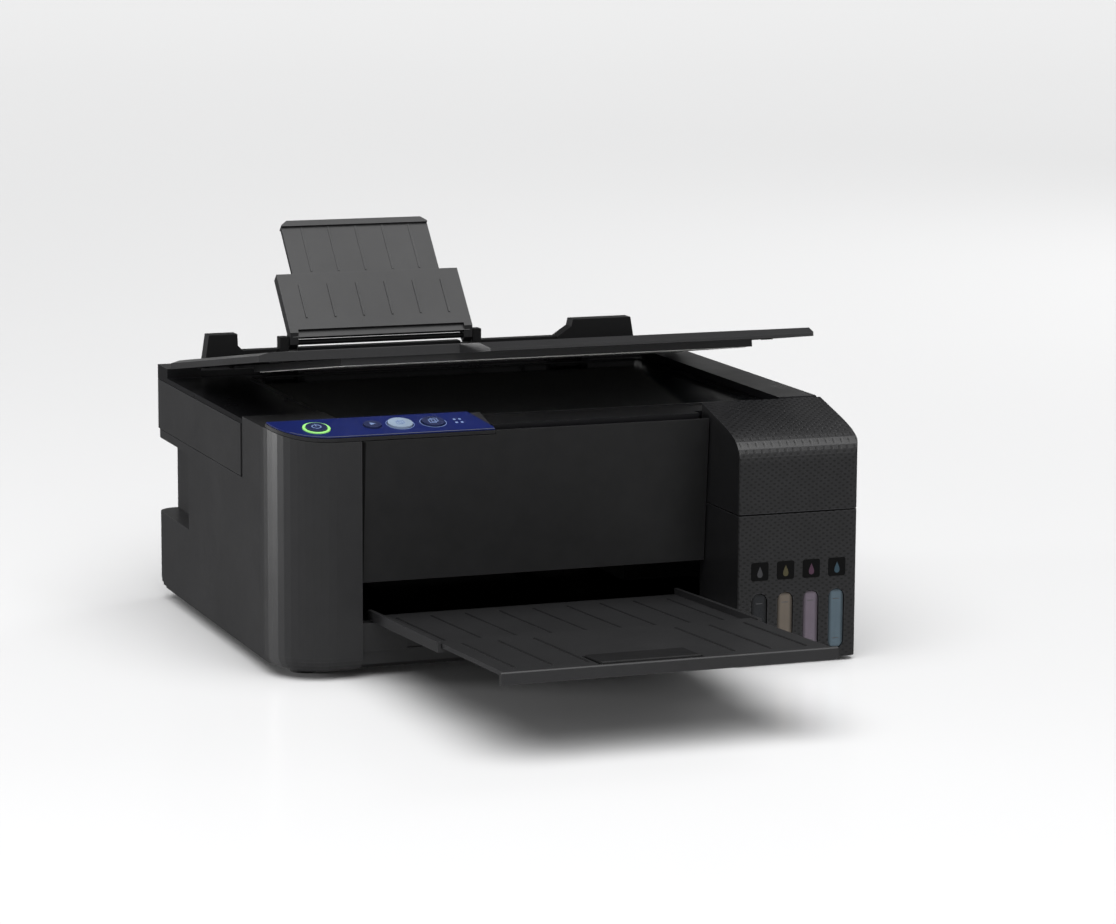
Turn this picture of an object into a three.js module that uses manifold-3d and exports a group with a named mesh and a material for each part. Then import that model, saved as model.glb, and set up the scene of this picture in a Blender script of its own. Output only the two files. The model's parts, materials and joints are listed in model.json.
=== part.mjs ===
// Desktop inkjet printer with refillable ink tanks, a flatbed scanner, a rear sheet feeder and a
// telescoping output tray. Millimetres, +X to the right, +Y to the back, +Z up.
import * as THREE from 'three';
import { mergeVertices } from 'three/addons/utils/BufferGeometryUtils.js';
import Module from 'manifold-3d';

const wasm = await Module();
wasm.setup();

// ---- driving dimensions -------------------------------------------------------------------------
const HALF_WIDTH = 187.5;
const REAR = 173.5;
const FRONT = -125.6;
const TANK_FRONT = -173.6;
const FRAME_SHIFT = 70;
const WALL = 2.5;
const GAP = 0.4;
const PANEL_SEAM = 0.9;
const FAR = 200;
const FOOT_HEIGHT = 4.5;
const CASE_BOTTOM = 4.8;
const SEAM = 119.3;
const COLUMN_RIGHT = -132.6;
const COLUMN_REAR = -45.3;
const COLUMN_TOP = 159;
const CORNER_RADIUS = 38;
const REAR_RADIUS = 14;
const TANK_LEFT = 103.5;
const TANK_BACK = -110.8;
const TANK_SEAM = 99.7;
const PAPER_CENTRE = -29;
const SHEET_HALF = 105;
const PANEL_TOP = 154.9;
const PANEL_BOTTOM = 60.9;
const DECK_BACK = -95.3;
const DECK_THICKNESS = 2.2;
const DECK_TILT = THREE.MathUtils.degToRad(13.2);
const LID_AXIS = { y: 140, z: 165 };
const LID_OPEN = THREE.MathUtils.degToRad(9);
const SCANNER_AXIS = { y: 165, z: 158 };
const SUPPORT_AXIS = { y: 157, z: 176 };
const SUPPORT_TILT = THREE.MathUtils.degToRad(42.4);
const TRAY_TILT = THREE.MathUtils.degToRad(3);
const TRAY_ORIGIN = { y: -121, z: 40 };
const TANK_CENTRES = [118.5, 136.5, 154.5, 172.5];
const NECK_Y = -150;
const LEFT_ARM = -163.5;
const RIGHT_ARM = 166;
const LID_KNUCKLES = [-105, 105];
const TRAY_X = [-125, 87];
const ROUND = 24;

// ---- solids -------------------------------------------------------------------------------------
function solid(geometry) {
  const bare = geometry.index ? geometry.toNonIndexed() : geometry.clone();
  bare.deleteAttribute('normal');
  bare.deleteAttribute('uv');
  const merged = mergeVertices(bare, 1e-4);
  return new wasm.Manifold(new wasm.Mesh({
    numProp: 3,
    vertProperties: new Float32Array(merged.attributes.position.array),
    triVerts: new Uint32Array(merged.index.array),
  }));
}

function box(x, y, z) {
  const geometry = new THREE.BoxGeometry(x[1] - x[0], y[1] - y[0], z[1] - z[0]);
  geometry.translate((x[0] + x[1]) / 2, (y[0] + y[1]) / 2, (z[0] + z[1]) / 2);
  return solid(geometry);
}

// The extrusion directions: an X prism takes (y, z) points, a Y prism (x, z), a Z prism (x, y).
const BASES = {
  x: [[0, 1, 0], [0, 0, 1], [1, 0, 0]],
  y: [[1, 0, 0], [0, 0, 1], [0, -1, 0]],
  z: [[1, 0, 0], [0, 1, 0], [0, 0, 1]],
};

function prism(axis, points, range) {
  const shape = new THREE.Shape(points.map(([a, b]) => new THREE.Vector2(a, b)));
  const geometry = new THREE.ExtrudeGeometry(shape, { depth: range[1] - range[0], bevelEnabled: false });
  const [u, v, w] = BASES[axis].map((vector) => new THREE.Vector3(...vector));
  const start = axis === 'y' ? range[1] : range[0];
  const offset = { x: [start, 0, 0], y: [0, start, 0], z: [0, 0, start] }[axis];
  geometry.applyMatrix4(new THREE.Matrix4().makeBasis(u, v, w).setPosition(...offset));
  return solid(geometry);
}

// A cylinder along one axis: centre holds the two other coordinates, in X, Y, Z order.
function rod(axis, centre, radius, range, sides = ROUND) {
  const points = [];
  for (let i = 0; i < sides; i += 1) {
    const angle = (2 * Math.PI * i) / sides;
    points.push([centre[0] + radius * Math.cos(angle), centre[1] + radius * Math.sin(angle)]);
  }
  return prism(axis, points, range);
}

// The same range, smaller by a clearance at both ends.
const inside = ([low, high], clearance) => [low + clearance, high - clearance];

// A range that reaches a distance from a point towards either side.
function reach(from, distance) {
  return [Math.min(from, from + distance), Math.max(from, from + distance)];
}

const join = (first, ...rest) => rest.reduce((sum, item) => sum.add(item), first);
const cut = (first, ...rest) => rest.reduce((left, item) => left.subtract(item), first);

// Corner points of a rectangle with rounded corners: radii for front-left, front-right, rear-right,
// rear-left, going round counterclockwise from above.
function roundedRectangle(x, y, radii, steps = 6) {
  const corners = [[x[0], y[0], 1, 1, Math.PI], [x[1], y[0], -1, 1, 1.5 * Math.PI],
    [x[1], y[1], -1, -1, 0], [x[0], y[1], 1, -1, 0.5 * Math.PI]];
  const points = [];
  corners.forEach(([cx, cy, sx, sy, start], corner) => {
    const radius = radii[corner];
    if (radius === 0) {
      points.push([cx, cy]);
      return;
    }
    for (let i = 0; i <= steps; i += 1) {
      const angle = start + (0.5 * Math.PI * i) / steps;
      points.push([cx + sx * radius + radius * Math.cos(angle), cy + sy * radius + radius * Math.sin(angle)]);
    }
  });
  return points;
}

// A pill outline: a vertical slot with round ends.
function pill(centre, radius, z, steps = 8) {
  const points = [];
  for (let i = 0; i <= steps; i += 1) {
    const angle = (Math.PI * i) / steps;
    points.push([centre + radius * Math.cos(angle), z[1] - radius + radius * Math.sin(angle)]);
  }
  for (let i = 0; i <= steps; i += 1) {
    const angle = Math.PI + (Math.PI * i) / steps;
    points.push([centre + radius * Math.cos(angle), z[0] + radius + radius * Math.sin(angle)]);
  }
  return points;
}

// Points along an arc between two directions in degrees, for profiles.
function arc(cx, cy, radius, from, to, steps = 8) {
  return Array.from({ length: steps + 1 }, (_, i) => {
    const angle = THREE.MathUtils.degToRad(from + ((to - from) * i) / steps);
    return [cx + radius * Math.cos(angle), cy + radius * Math.sin(angle)];
  });
}

// ---- scene graph --------------------------------------------------------------------------------
const printer = new THREE.Group();
printer.position.y = FRAME_SHIFT;

const MATERIALS = {
  shell: [0x303032, 0.45, 0],
  dark: [0x161617, 0.35, 0],
  deck: [0x1c1c1e, 0.4, 0],
  blue: [0x1b2a74, 0.35, 0],
  glow: [0xb5e8b0, 0.3, 0],
  silver: [0xa9bbd0, 0.35, 0.3],
  glass: [0x0b0c0e, 0.05, 0],
  white: [0xe6e6e2, 0.7, 0],
  steel: [0xa5a8ab, 0.35, 0.9],
  rubber: [0x1b1b1b, 0.9, 0],
  board: [0x1f5a34, 0.6, 0],
  tank: [0x8b8f92, 0.2, 0],
  pad: [0xb9b4a6, 0.95, 0],
};

function addPart(name, body, look, parent = printer) {
  const mesh = body.getMesh();
  const geometry = new THREE.BufferGeometry();
  geometry.setAttribute('position', new THREE.BufferAttribute(new Float32Array(mesh.vertProperties), 3));
  geometry.setIndex(new THREE.BufferAttribute(new Uint32Array(mesh.triVerts), 1));
  const [color, roughness, metalness] = look;
  const piece = new THREE.Mesh(geometry, new THREE.MeshStandardMaterial({ color, roughness, metalness }));
  piece.name = name;
  parent.add(piece);
}

// A group that stands at a pivot line along X and is turned about it.
function turnedGroup(axis, angle) {
  const group = new THREE.Group();
  group.position.set(0, axis.y, axis.z);
  group.rotation.x = angle;
  printer.add(group);
  return group;
}

// ---- housing ------------------------------------------------------------------------------------
const BODY_PLAN = [CORNER_RADIUS, 0, REAR_RADIUS, REAR_RADIUS];

function plan(inset) {
  return roundedRectangle(
    [-HALF_WIDTH + inset, HALF_WIDTH - inset],
    [FRONT + inset, REAR - inset],
    BODY_PLAN.map((radius) => Math.max(0, radius - inset)),
    12,
  );
}

// The shell stands on the base with a rounded lower edge, stepped in a few rings.
function shellBlank(top) {
  const edge = 10;
  let body = prism('z', plan(0), [CASE_BOTTOM + edge, top]);
  const steps = 4;
  for (let i = 0; i < steps; i += 1) {
    const inset = edge * (1 - Math.sqrt(1 - ((steps - i) / steps) ** 2)) * 0.9;
    const low = CASE_BOTTOM + (edge * i) / steps;
    body = body.add(prism('z', plan(inset), [low, low + edge / steps + (i + 1 === steps ? 0.01 : 0)]));
  }
  return body;
}

const RECESS = { x: [-HALF_WIDTH - 1, -172], y: [87.7, REAR + 1], z: [61.5, 113.5] };
const REAR_OPENING = { x: [-104, 104], z: [48, 104] };
const INLET = { x: [-152, -122], z: [22, 46] };
const USB = { x: [-176, -158], y: [118, 132], z: [74, 84] };
const TANK_BAY = box([TANK_LEFT - 1, FAR], [-FAR, TANK_BACK + 0.6], [0, FAR]);
const DECK_BOTTOM = PANEL_TOP - DECK_THICKNESS - GAP;

// The space under the sloping control panel, and the pocket below it for the keys.
function deckSpaces() {
  const slope = (y) => [y, DECK_BOTTOM + (y - FRONT) * Math.tan(DECK_TILT)];
  const front = FRONT - 10;
  const back = DECK_BACK + 0.5;
  const above = COLUMN_TOP + 20;
  const profile = [slope(front), slope(back), [back, above], [front, above]];
  const deckSpace = prism('x', profile, [-FAR, COLUMN_RIGHT + 1]);
  const keyDepth = [COLUMN_TOP - 19, above];
  const keySpace = prism('z', plan(WALL), keyDepth).intersect(box([-FAR, FAR], [-FAR, -99], keyDepth));
  return { deckSpace, keySpace };
}

// The wall round the cable recess in the left rear corner.
function recessWall() {
  return box(
    [-FAR, RECESS.x[1] + WALL],
    [RECESS.y[0] - WALL, FAR],
    [RECESS.z[0] - WALL, RECESS.z[1] + WALL],
  );
}

function addHousing() {
  const { deckSpace, keySpace } = deckSpaces();
  const inner = prism('z', plan(WALL + 9.2), [0, CASE_BOTTOM + 10]);
  const upper = prism('z', plan(WALL), [CASE_BOTTOM + 10 - 0.01, COLUMN_TOP - WALL]);
  const hollow = join(inner, upper, keySpace).subtract(recessWall());
  const column = join(
    box([-FAR, COLUMN_RIGHT], [-FAR, COLUMN_REAR], [SEAM - 1, COLUMN_TOP]),
    box([-FAR, FAR], [-FAR, FAR], [0, SEAM]),
  );
  const openings = [
    box(RECESS.x, RECESS.y, RECESS.z),
    box([COLUMN_RIGHT, FAR], [-FAR, -108.5], [0, FAR]),
    box(REAR_OPENING.x, [REAR - 6, REAR + 1], REAR_OPENING.z),
    box(INLET.x, [REAR - 6, REAR + 1], INLET.z),
    box([USB.x[0], -166], USB.y, USB.z),
  ];
  const shell = shellBlank(COLUMN_TOP).intersect(column);
  addPart('main_housing', cut(shell, hollow, deckSpace, TANK_BAY, ...openings), MATERIALS.shell);
}

const FEET = {
  front_left: { at: [-160, -88], top: FOOT_HEIGHT },
  front_right: { at: [150, -150], top: 2.7 },
  rear_left: { at: [-155, 145], top: FOOT_HEIGHT },
  rear_right: { at: [155, 145], top: FOOT_HEIGHT },
};
const FOOT_RADIUS = 9;

function addBase() {
  const plate = prism('z', plan(12.2), [CASE_BOTTOM, CASE_BOTTOM + 3]);
  const ribs = [-60, 60].map((x) => box([x, x + 3], [-100, 150], [CASE_BOTTOM + 2.9, 14]));
  addPart('base_tray', cut(join(plate, ...ribs), TANK_BAY), MATERIALS.dark);
  for (const [place, { at, top }] of Object.entries(FEET)) {
    addPart(`foot_${place}`, rod('z', at, FOOT_RADIUS, [0, top]), MATERIALS.rubber);
  }
}

function addRearPanels() {
  const cover = box(inside(REAR_OPENING.x, GAP), [REAR - 4, REAR], inside(REAR_OPENING.z, GAP));
  const grips = [-60, 60].map((x) => box([x - 10, x + 10], [REAR - 1.5, REAR + 1], [94, 99]));
  addPart('rear_cover', cut(cover, ...grips), MATERIALS.shell);

  const inlet = box(inside(INLET.x, 0.5), [REAR - 20, REAR - 0.5], inside(INLET.z, 0.5));
  const socket = box(inside(INLET.x, 4), [REAR - 14, REAR + 1], inside(INLET.z, 4));
  const pins = box([-141, -133], [REAR - 14.1, REAR - 6], [33, 35]);
  addPart('power_inlet', cut(inlet, socket).add(pins), MATERIALS.dark);

  const port = box([USB.x[0] + 3.5, USB.x[1]], inside(USB.y, 0.5), inside(USB.z, 0.5));
  const mouth = box([USB.x[0] + 3, USB.x[1] - 4], inside(USB.y, 2), inside(USB.z, 2));
  addPart('usb_port', port.subtract(mouth), MATERIALS.steel);
}

function addFront() {
  const lean = 6.5;
  const thickness = 2.6;
  const face = [
    [FRONT + thickness, PANEL_TOP],
    [FRONT + lean + thickness, PANEL_BOTTOM],
    [FRONT + lean, PANEL_BOTTOM],
    [FRONT, PANEL_TOP],
  ];
  const sheet = prism('x', face, [COLUMN_RIGHT + PANEL_SEAM, TANK_LEFT - PANEL_SEAM]);
  const underDeck = box([-FAR, -43.6], [-FAR, -100], [DECK_BOTTOM, FAR]);
  addPart('front_panel', sheet.subtract(underDeck), MATERIALS.dark);

  const x = [COLUMN_RIGHT + GAP, TANK_LEFT - GAP];
  const sill = join(
    box(x, [-118, -112], [8.2, 34]),
    box(x, [-119.5, -112], [8.2, 17]),
    box([x[0], -101.6], [-121, -112], [17, 35]),
  );
  addPart('front_sill', sill, MATERIALS.dark);
}

// ---- control panel ------------------------------------------------------------------------------
const BUTTONS = [
  { name: 'power_button', x: -157.8, radius: 6.9, look: MATERIALS.deck },
  { name: 'stop_button', x: -121, radius: 5.6, look: MATERIALS.deck },
  { name: 'colour_copy_button', x: -102.6, radius: 8, look: MATERIALS.silver },
  { name: 'black_copy_button', x: -80.6, radius: 7.4, look: MATERIALS.deck },
];
const BUTTON_Y = 16;
const BUTTON_HEIGHT = [-3.4, 2.3];
const RING = { inner: 7.3, outer: 8.9, height: [-3.4, 1.6] };
const PANEL = { depth: 31, right: -44, slant: 9, film: [0.3, 1.1] };

// A panel plate whose front-left corner follows the column's rounded corner.
function panelPlate(inset, z) {
  const x = [-HALF_WIDTH + inset, PANEL.right - inset];
  const outline = roundedRectangle(x, [inset, 80], [CORNER_RADIUS - inset, 0, 0, 0], 12);
  return prism('z', outline, z).intersect(box([-FAR, PANEL.right], [0, PANEL.depth - inset], z));
}

function keyHole(button) {
  const radius = button.name === 'power_button' ? RING.outer : button.radius;
  return rod('z', [button.x, BUTTON_Y], radius + GAP, [-5, 3]);
}

function addControlPanel() {
  const deckGroup = turnedGroup({ y: FRONT, z: PANEL_TOP }, DECK_TILT);
  const holes = BUTTONS.map(keyHole);
  const deck = panelPlate(0, [-DECK_THICKNESS, 0]);
  addPart('control_deck', cut(deck, ...holes), MATERIALS.deck, deckGroup);

  const { right, depth, slant } = PANEL;
  const corner = [[right - slant, depth], [right + 1, 0], [right + slant, 0], [right + slant, depth]];
  const film = cut(panelPlate(0.4, PANEL.film), prism('z', corner, [-1, 3]), ...holes);
  addPart('panel_overlay', film, MATERIALS.blue, deckGroup);

  for (const button of BUTTONS) {
    const cap = rod('z', [button.x, BUTTON_Y], button.radius, BUTTON_HEIGHT);
    addPart(button.name, cap, button.look, deckGroup);
  }
  const centre = [BUTTONS[0].x, BUTTON_Y];
  const ring = rod('z', centre, RING.outer, RING.height).subtract(rod('z', centre, RING.inner, [-4, 3]));
  addPart('power_ring', ring, MATERIALS.glow, deckGroup);
}

// ---- ink tank unit ------------------------------------------------------------------------------
const INK_COLOURS = { black: 0x303236, yellow: 0x7d7468, magenta: 0x87788a, cyan: 0x6d8290 };

function addTankUnit() {
  const x = [TANK_LEFT, HALF_WIDTH];
  const y = [TANK_FRONT, TANK_BACK];
  const unitPlan = roundedRectangle(x, y, [1.5, 5, 0, 0], 5);
  const bottom = 2.9;
  const outer = prism('z', unitPlan, [bottom, TANK_SEAM - PANEL_SEAM]);
  const inner = box([x[0] + 2, x[1] - 2], [y[0] + WALL, y[1] + 1], [bottom + WALL, FAR]);
  const through = [y[0] - 1, y[0] + WALL + 1];
  const windows = TANK_CENTRES.map((centre) => prism('y', pill(centre, 5.6, [8.3, 48]), through));
  addPart('tank_case', cut(outer, inner, ...windows), MATERIALS.shell);
  const names = Object.keys(INK_COLOURS);
  TANK_CENTRES.forEach((centre, i) => addTank(names[i], centre));
  addTankCover(x, unitPlan);
}

const TANK = { half: 8.4, wall: 1.2, low: 5.8, high: 92, ink: 62, neck: 105, clearance: 0.3 };
const CAP = { z: [105.4, 108.6], radius: 7.6, plug: 3.9, hinge: { y: NECK_Y + 12, z: 107 } };

function addTank(name, centre) {
  const { half, wall, low, high, clearance } = TANK;
  const y = [TANK_FRONT + WALL + 0.3, TANK_BACK - 2];
  const shell = join(
    box([centre - half, centre + half], y, [low, high]),
    rod('z', [centre, NECK_Y], 6.6, [high - 0.1, TANK.neck]),
  );
  const hollow = join(
    box([centre - half + wall, centre + half - wall], inside(y, wall), [low + wall, high - wall]),
    rod('z', [centre, NECK_Y], 5.2, [high - 2, TANK.neck + 1]),
  );
  addPart(`tank_${name}`, shell.subtract(hollow), MATERIALS.tank);

  const inset = wall + clearance;
  const ink = box([centre - half + inset, centre + half - inset], inside(y, inset), [low + inset, TANK.ink]);
  addPart(`ink_${name}`, ink, [INK_COLOURS[name], 0.2, 0]);

  const { hinge } = CAP;
  const strap = [centre - 4, centre + 4];
  const lid = join(
    rod('z', [centre, NECK_Y], CAP.radius, CAP.z),
    rod('z', [centre, NECK_Y], CAP.plug, [CAP.z[0] - 2.8, CAP.z[0] + 0.1]),
    box(strap, [NECK_Y, hinge.y], CAP.z),
    rod('x', [hinge.y, hinge.z], 1.6, strap, 12),
  );
  addPart(`cap_${name}`, lid, MATERIALS.dark);
}

// The cover's front rolls back into its sloping top along one cubic curve.
function coverCurve(...controls) {
  const curve = new THREE.CubicBezierCurve(...controls.map(([y, z]) => new THREE.Vector2(y, z)));
  return curve.getPoints(14).map((point) => [point.x, point.y]);
}

function addTankCover(x, unitPlan) {
  const outside = [
    [TANK_FRONT, TANK_SEAM],
    ...coverCurve([TANK_FRONT, 133], [TANK_FRONT, 149], [-160, 150.5], [TANK_BACK, 163]),
    [TANK_BACK, TANK_SEAM],
  ];
  const front = TANK_FRONT + WALL;
  const roof = 160.3;
  const within = [
    [front, 0],
    ...coverCurve([front, 133], [front, 146.7], [-159, 148], [TANK_BACK - 0.5, roof]),
    [TANK_BACK + 5, roof],
    [TANK_BACK + 5, 0],
  ];
  const outer = prism('x', outside.reverse(), x).intersect(prism('z', unitPlan, [90, 170]));
  const inner = prism('x', within.reverse(), [x[0] + 2, x[1] - 2]);
  addPart('tank_cover', outer.subtract(inner), MATERIALS.shell);
}

// ---- scanner ------------------------------------------------------------------------------------
// The scanner's outline steps round the control panel and has two rear arms beside the feeder, each
// with a chamfered outer corner.
const ARM_CORNER = [[0, 8], [2.5, 2.5], [8, 0]];

function scannerPlan(inset) {
  const i = inset;
  const side = HALF_WIDTH - i;
  const rightArm = ARM_CORNER.map(([dx, dy]) => [side - dx, REAR - i - dy]);
  const leftArm = ARM_CORNER.map(([dx, dy]) => [dx - side, REAR - i - dy]).reverse();
  return [
    [-side, -41 + i], [COLUMN_RIGHT + 0.8 + i, -41 + i], [COLUMN_RIGHT + 0.8 + i, -90 + i],
    [-42 + i, -90 + i], [-42 + i, -114.5 + i], [99 - i, -114.5 + i], [99 - i, -105 + i], [side, -105 + i],
    ...rightArm, [RIGHT_ARM + i, REAR - i], [RIGHT_ARM + i, 133 - i],
    [LEFT_ARM - i, 133 - i], [LEFT_ARM - i, REAR - i], ...leftArm,
  ];
}

// The top plate overhangs the case a little at the front and round the control panel.
function topPlan() {
  const rightArm = ARM_CORNER.map(([dx, dy]) => [HALF_WIDTH - dx, REAR - dy]);
  const leftArm = ARM_CORNER.map(([dx, dy]) => [dx - HALF_WIDTH, REAR - dy]).reverse();
  return [
    [-HALF_WIDTH, -44.7], [COLUMN_RIGHT + GAP, -44.7], [COLUMN_RIGHT + GAP, -94.6], [-43, -94.6],
    [-43, -117], [99, -117], [99, -108], [HALF_WIDTH, -108],
    ...rightArm, [RIGHT_ARM, REAR], [RIGHT_ARM, 137],
    [LEFT_ARM, 137], [LEFT_ARM, REAR], ...leftArm,
  ];
}

const GUIDE = { y: 20, z: 138, radius: 3 };
const GLASS = { x: [-131, 154], y: [-76, 126], z: [155.7, 157.1] };
const TOP_PLATE = [154.2, 157.4];
const RAIL_PROFILE = [[-108, 156], [136.9, 156], [136.9, 163], [-104, 163], [-108, 161]];

// Two cheeks and a pin for each lid hinge.
function lidClevis(centre) {
  const cheeks = [centre - 14, centre + 9.4].map((x) => box([x, x + 4.6], [135.6, 144], [155, 169]));
  const pin = rod('x', [LID_AXIS.y, LID_AXIS.z], 2, [centre - 13, centre + 13], 16);
  return join(...cheeks, pin);
}

function addScannerCase() {
  const bottom = SEAM + GAP;
  const blank = prism('z', scannerPlan(0), [bottom, TOP_PLATE[0] - GAP]);
  const hollow = prism('z', scannerPlan(WALL), [bottom + WALL, FAR]);
  const heel = prism('x', [[166, 119], [176, 119], [176, 123.2]], [-FAR, FAR]);
  const guide = rod('x', [GUIDE.y, GUIDE.z], GUIDE.radius, [-186, 186], 16);
  addPart('scanner_case', join(cut(blank, hollow, heel), guide), MATERIALS.shell);
}

function addScannerTop() {
  const rail = prism('x', RAIL_PROFILE, [161, HALF_WIDTH]);
  const leftBlock = box([-HALF_WIDTH, LEFT_ARM], [140, REAR - 8], [157.3, 164]);
  const rightBlock = box([RIGHT_ARM, HALF_WIDTH], [136.8, REAR - 8], [156, 163]);
  const window = box(inside(GLASS.x, 2), inside(GLASS.y, 2), [150, 170]);
  const seat = box(inside(GLASS.x, -GAP), inside(GLASS.y, -GAP), [155.4, 170]);
  const bores = [[-172, -163], [165, 175]].map((x) => rod('x', [SCANNER_AXIS.y, SCANNER_AXIS.z], 3.4, x));
  const plate = join(prism('z', topPlan(), TOP_PLATE), rail, leftBlock, rightBlock);
  const frame = cut(plate, window, seat, ...bores);
  addPart('scanner_top', join(frame, ...LID_KNUCKLES.map(lidClevis)), MATERIALS.dark);
}

function addScanCarriage() {
  const head = box([-118, -96], [-70, 120], [130, 150]);
  const sensor = box([-110, -104], [-68, 118], [149.9, 152]);
  const bore = rod('x', [GUIDE.y, GUIDE.z], GUIDE.radius + GAP, [-130, -80]);
  addPart('scan_carriage', join(head, sensor).subtract(bore), MATERIALS.dark);
}

function addScanner() {
  addScannerCase();
  addScannerTop();
  addPart('scanner_glass', box(GLASS.x, GLASS.y, GLASS.z), MATERIALS.glass);
  addScanCarriage();
}

// ---- lid ----------------------------------------------------------------------------------------
const LID = {
  z: [-1.2, 4.6],
  outline: [[-186, -4.6], [-186, -222], [-52, -222], [-40, -247], [184, -247], [186, -245], [186, -4.6]],
};
const PAD = { x: [-126.8, 150.8], y: [-213.8, -17.2], z: [-6.4, -1.5] };
const PAD_RIM = 3.2;

// A knuckle turns on each clevis pin, and the lid is cut clear of the clevis cheeks beside it.
function lidKnuckle(centre) {
  const x = [centre - 9, centre + 9];
  return join(rod('x', [0, 0], 4, x), box(x, [-6, 0], [LID.z[0], 4]));
}

function cheekSpace(centre) {
  return [centre - 15, centre + 9].map((x) => box([x, x + 6], [-8, 9], [-9, 9]));
}

function addLid() {
  const group = turnedGroup(LID_AXIS, -LID_OPEN);
  const plate = prism('z', LID.outline, LID.z);
  const frontTaper = prism('x', [[-249, 4.7], [-247.2, 0.7], [-238, 4.7]], [-FAR, FAR]);
  const leftTaper = prism('y', [[-187, 2.6], [-187, 5], [-178, 5]], [-250, 10]);
  const rim = cut(
    box(inside(PAD.x, -PAD_RIM), inside(PAD.y, -PAD_RIM), [-6, LID.z[0] + 0.1]),
    box(inside(PAD.x, -0.6), inside(PAD.y, -0.6), [-7, -1]),
  );
  const bore = rod('x', [0, 0], 2.4, [-FAR, FAR], 16);
  const lid = join(cut(plate, frontTaper, leftTaper), rim, ...LID_KNUCKLES.map(lidKnuckle));
  addPart('document_lid', cut(lid, ...LID_KNUCKLES.flatMap(cheekSpace), bore), MATERIALS.shell, group);
  addPart('lid_pad', box(PAD.x, PAD.y, PAD.z), MATERIALS.white, group);
}

// ---- sheet feeder -------------------------------------------------------------------------------
const FEEDER_X = [-163, 165.5];
const EAR_DEPTH = [154, 165];
const LEFT_EAR = [[-157.6, 160], [-128, 160], [-128, 171], [-133.2, 176], [-133.5, 184], [-153.9, 184]];
const RIGHT_EAR = [[103, 160], [163, 160], [158.9, 184], [114.7, 184], [113.6, 179], [103, 172]];
const POST_PROFILE = [[153, 168.8], [161, 168.8], [161, 180.5], [153, 180.5]];
const SLEEVE = { x: [-96, 38], y: [-9, -1.6], z: [4.6, 52] };
const LUG_PROFILE = [[-9, 6], [-9, 2], [-3, -4], [3, -4], [4, 0], [4, 2], [0, 6]];
const SHEET_PANEL = { x: [-83.4, 25.4], y: [-7, -3.8], z: [49.5, 94] };

function addFeederHousing() {
  const back = REAR - 0.3;
  const blank = box(FEEDER_X, [146, back], [SEAM + 1, 161]);
  const throat = box([-140, 82], [148.5, 156.6], [100, 170]);
  const cavity = box(inside(FEEDER_X, WALL), [159, back - WALL], [100, 158.5]);
  const rightCavity = box([84.5, FEEDER_X[1] - WALL], [148.5, 157], [100, 158.5]);
  const band = box([-129.5, 104.5], [157, 165], [160, 172]);
  const ears = [LEFT_EAR, RIGHT_EAR].map((outline) => prism('y', outline, EAR_DEPTH));
  const notches = [-93, 35].map((at) => box([at - 4, at + 4], [150, 170], [170, 180]));
  const posts = [[-103, -97], [39, 45]].map((range) => prism('x', POST_PROFILE, range));
  const pin = rod('x', [SUPPORT_AXIS.y, SUPPORT_AXIS.z], 2, [-100, 42], 16);
  const pivotRanges = [[-171.6, FEEDER_X[0] + 1], [FEEDER_X[1] - 1, 174.6]];
  const pivots = pivotRanges.map((range) => rod('x', [SCANNER_AXIS.y, SCANNER_AXIS.z], 3, range, 16));
  const body = cut(join(blank, band, ...ears), throat, cavity, rightCavity, ...notches);
  addPart('feeder_housing', join(body, ...posts, pin, ...pivots), MATERIALS.dark);
}

// The support turns on the feeder's pin, and its extension slides up out of a channel in it.
function addSupport() {
  const group = turnedGroup(SUPPORT_AXIS, -SUPPORT_TILT);
  const sleeve = box(SLEEVE.x, SLEEVE.y, SLEEVE.z);
  const channel = box([-84, 26], [-7.4, -3.4], [6.4, 60]);
  const lugRanges = [reach(SLEEVE.x[0], 6), reach(SLEEVE.x[1], -6)];
  const lugs = lugRanges.map((range) => prism('x', LUG_PROFILE, range));
  const bore = rod('x', [0, 0], 2.4, [-FAR, FAR], 16);
  const apron = box(inside(SLEEVE.x, 2), [-7, -4.6], [-0.5, 5]);
  addPart('paper_support', cut(join(sleeve, ...lugs, apron), channel, bore), MATERIALS.shell, group);

  const [left, right] = SHEET_PANEL.x;
  const panel = box(SHEET_PANEL.x, SHEET_PANEL.y, SHEET_PANEL.z);
  const headOutline = [
    [left, 93.9], [right, 93.9], [right, 95], [right - 4.4, 98.6], [left + 4.4, 98.6], [left, 95],
  ];
  const head = prism('y', headOutline, [-8.6, -2.4]);
  addPart('support_extension', join(panel, head), MATERIALS.shell, group);
}

function addEdgeGuide(side, sign) {
  const y = [149.2, 155.8];
  const face = PAPER_CENTRE + sign * (SHEET_HALF + 0.6);
  const outside = face + sign * 2.4;
  const fin = box(reach(face, outside - face), y, [112, 168]);
  const foot = box(reach(outside, -sign * 16.4), y, [112, 114.5]);
  addPart(`edge_guide_${side}`, join(fin, foot), MATERIALS.shell);
}

function addFeeder() {
  addFeederHousing();
  addSupport();
  addEdgeGuide('left', -1);
  addEdgeGuide('right', 1);
}

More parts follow.
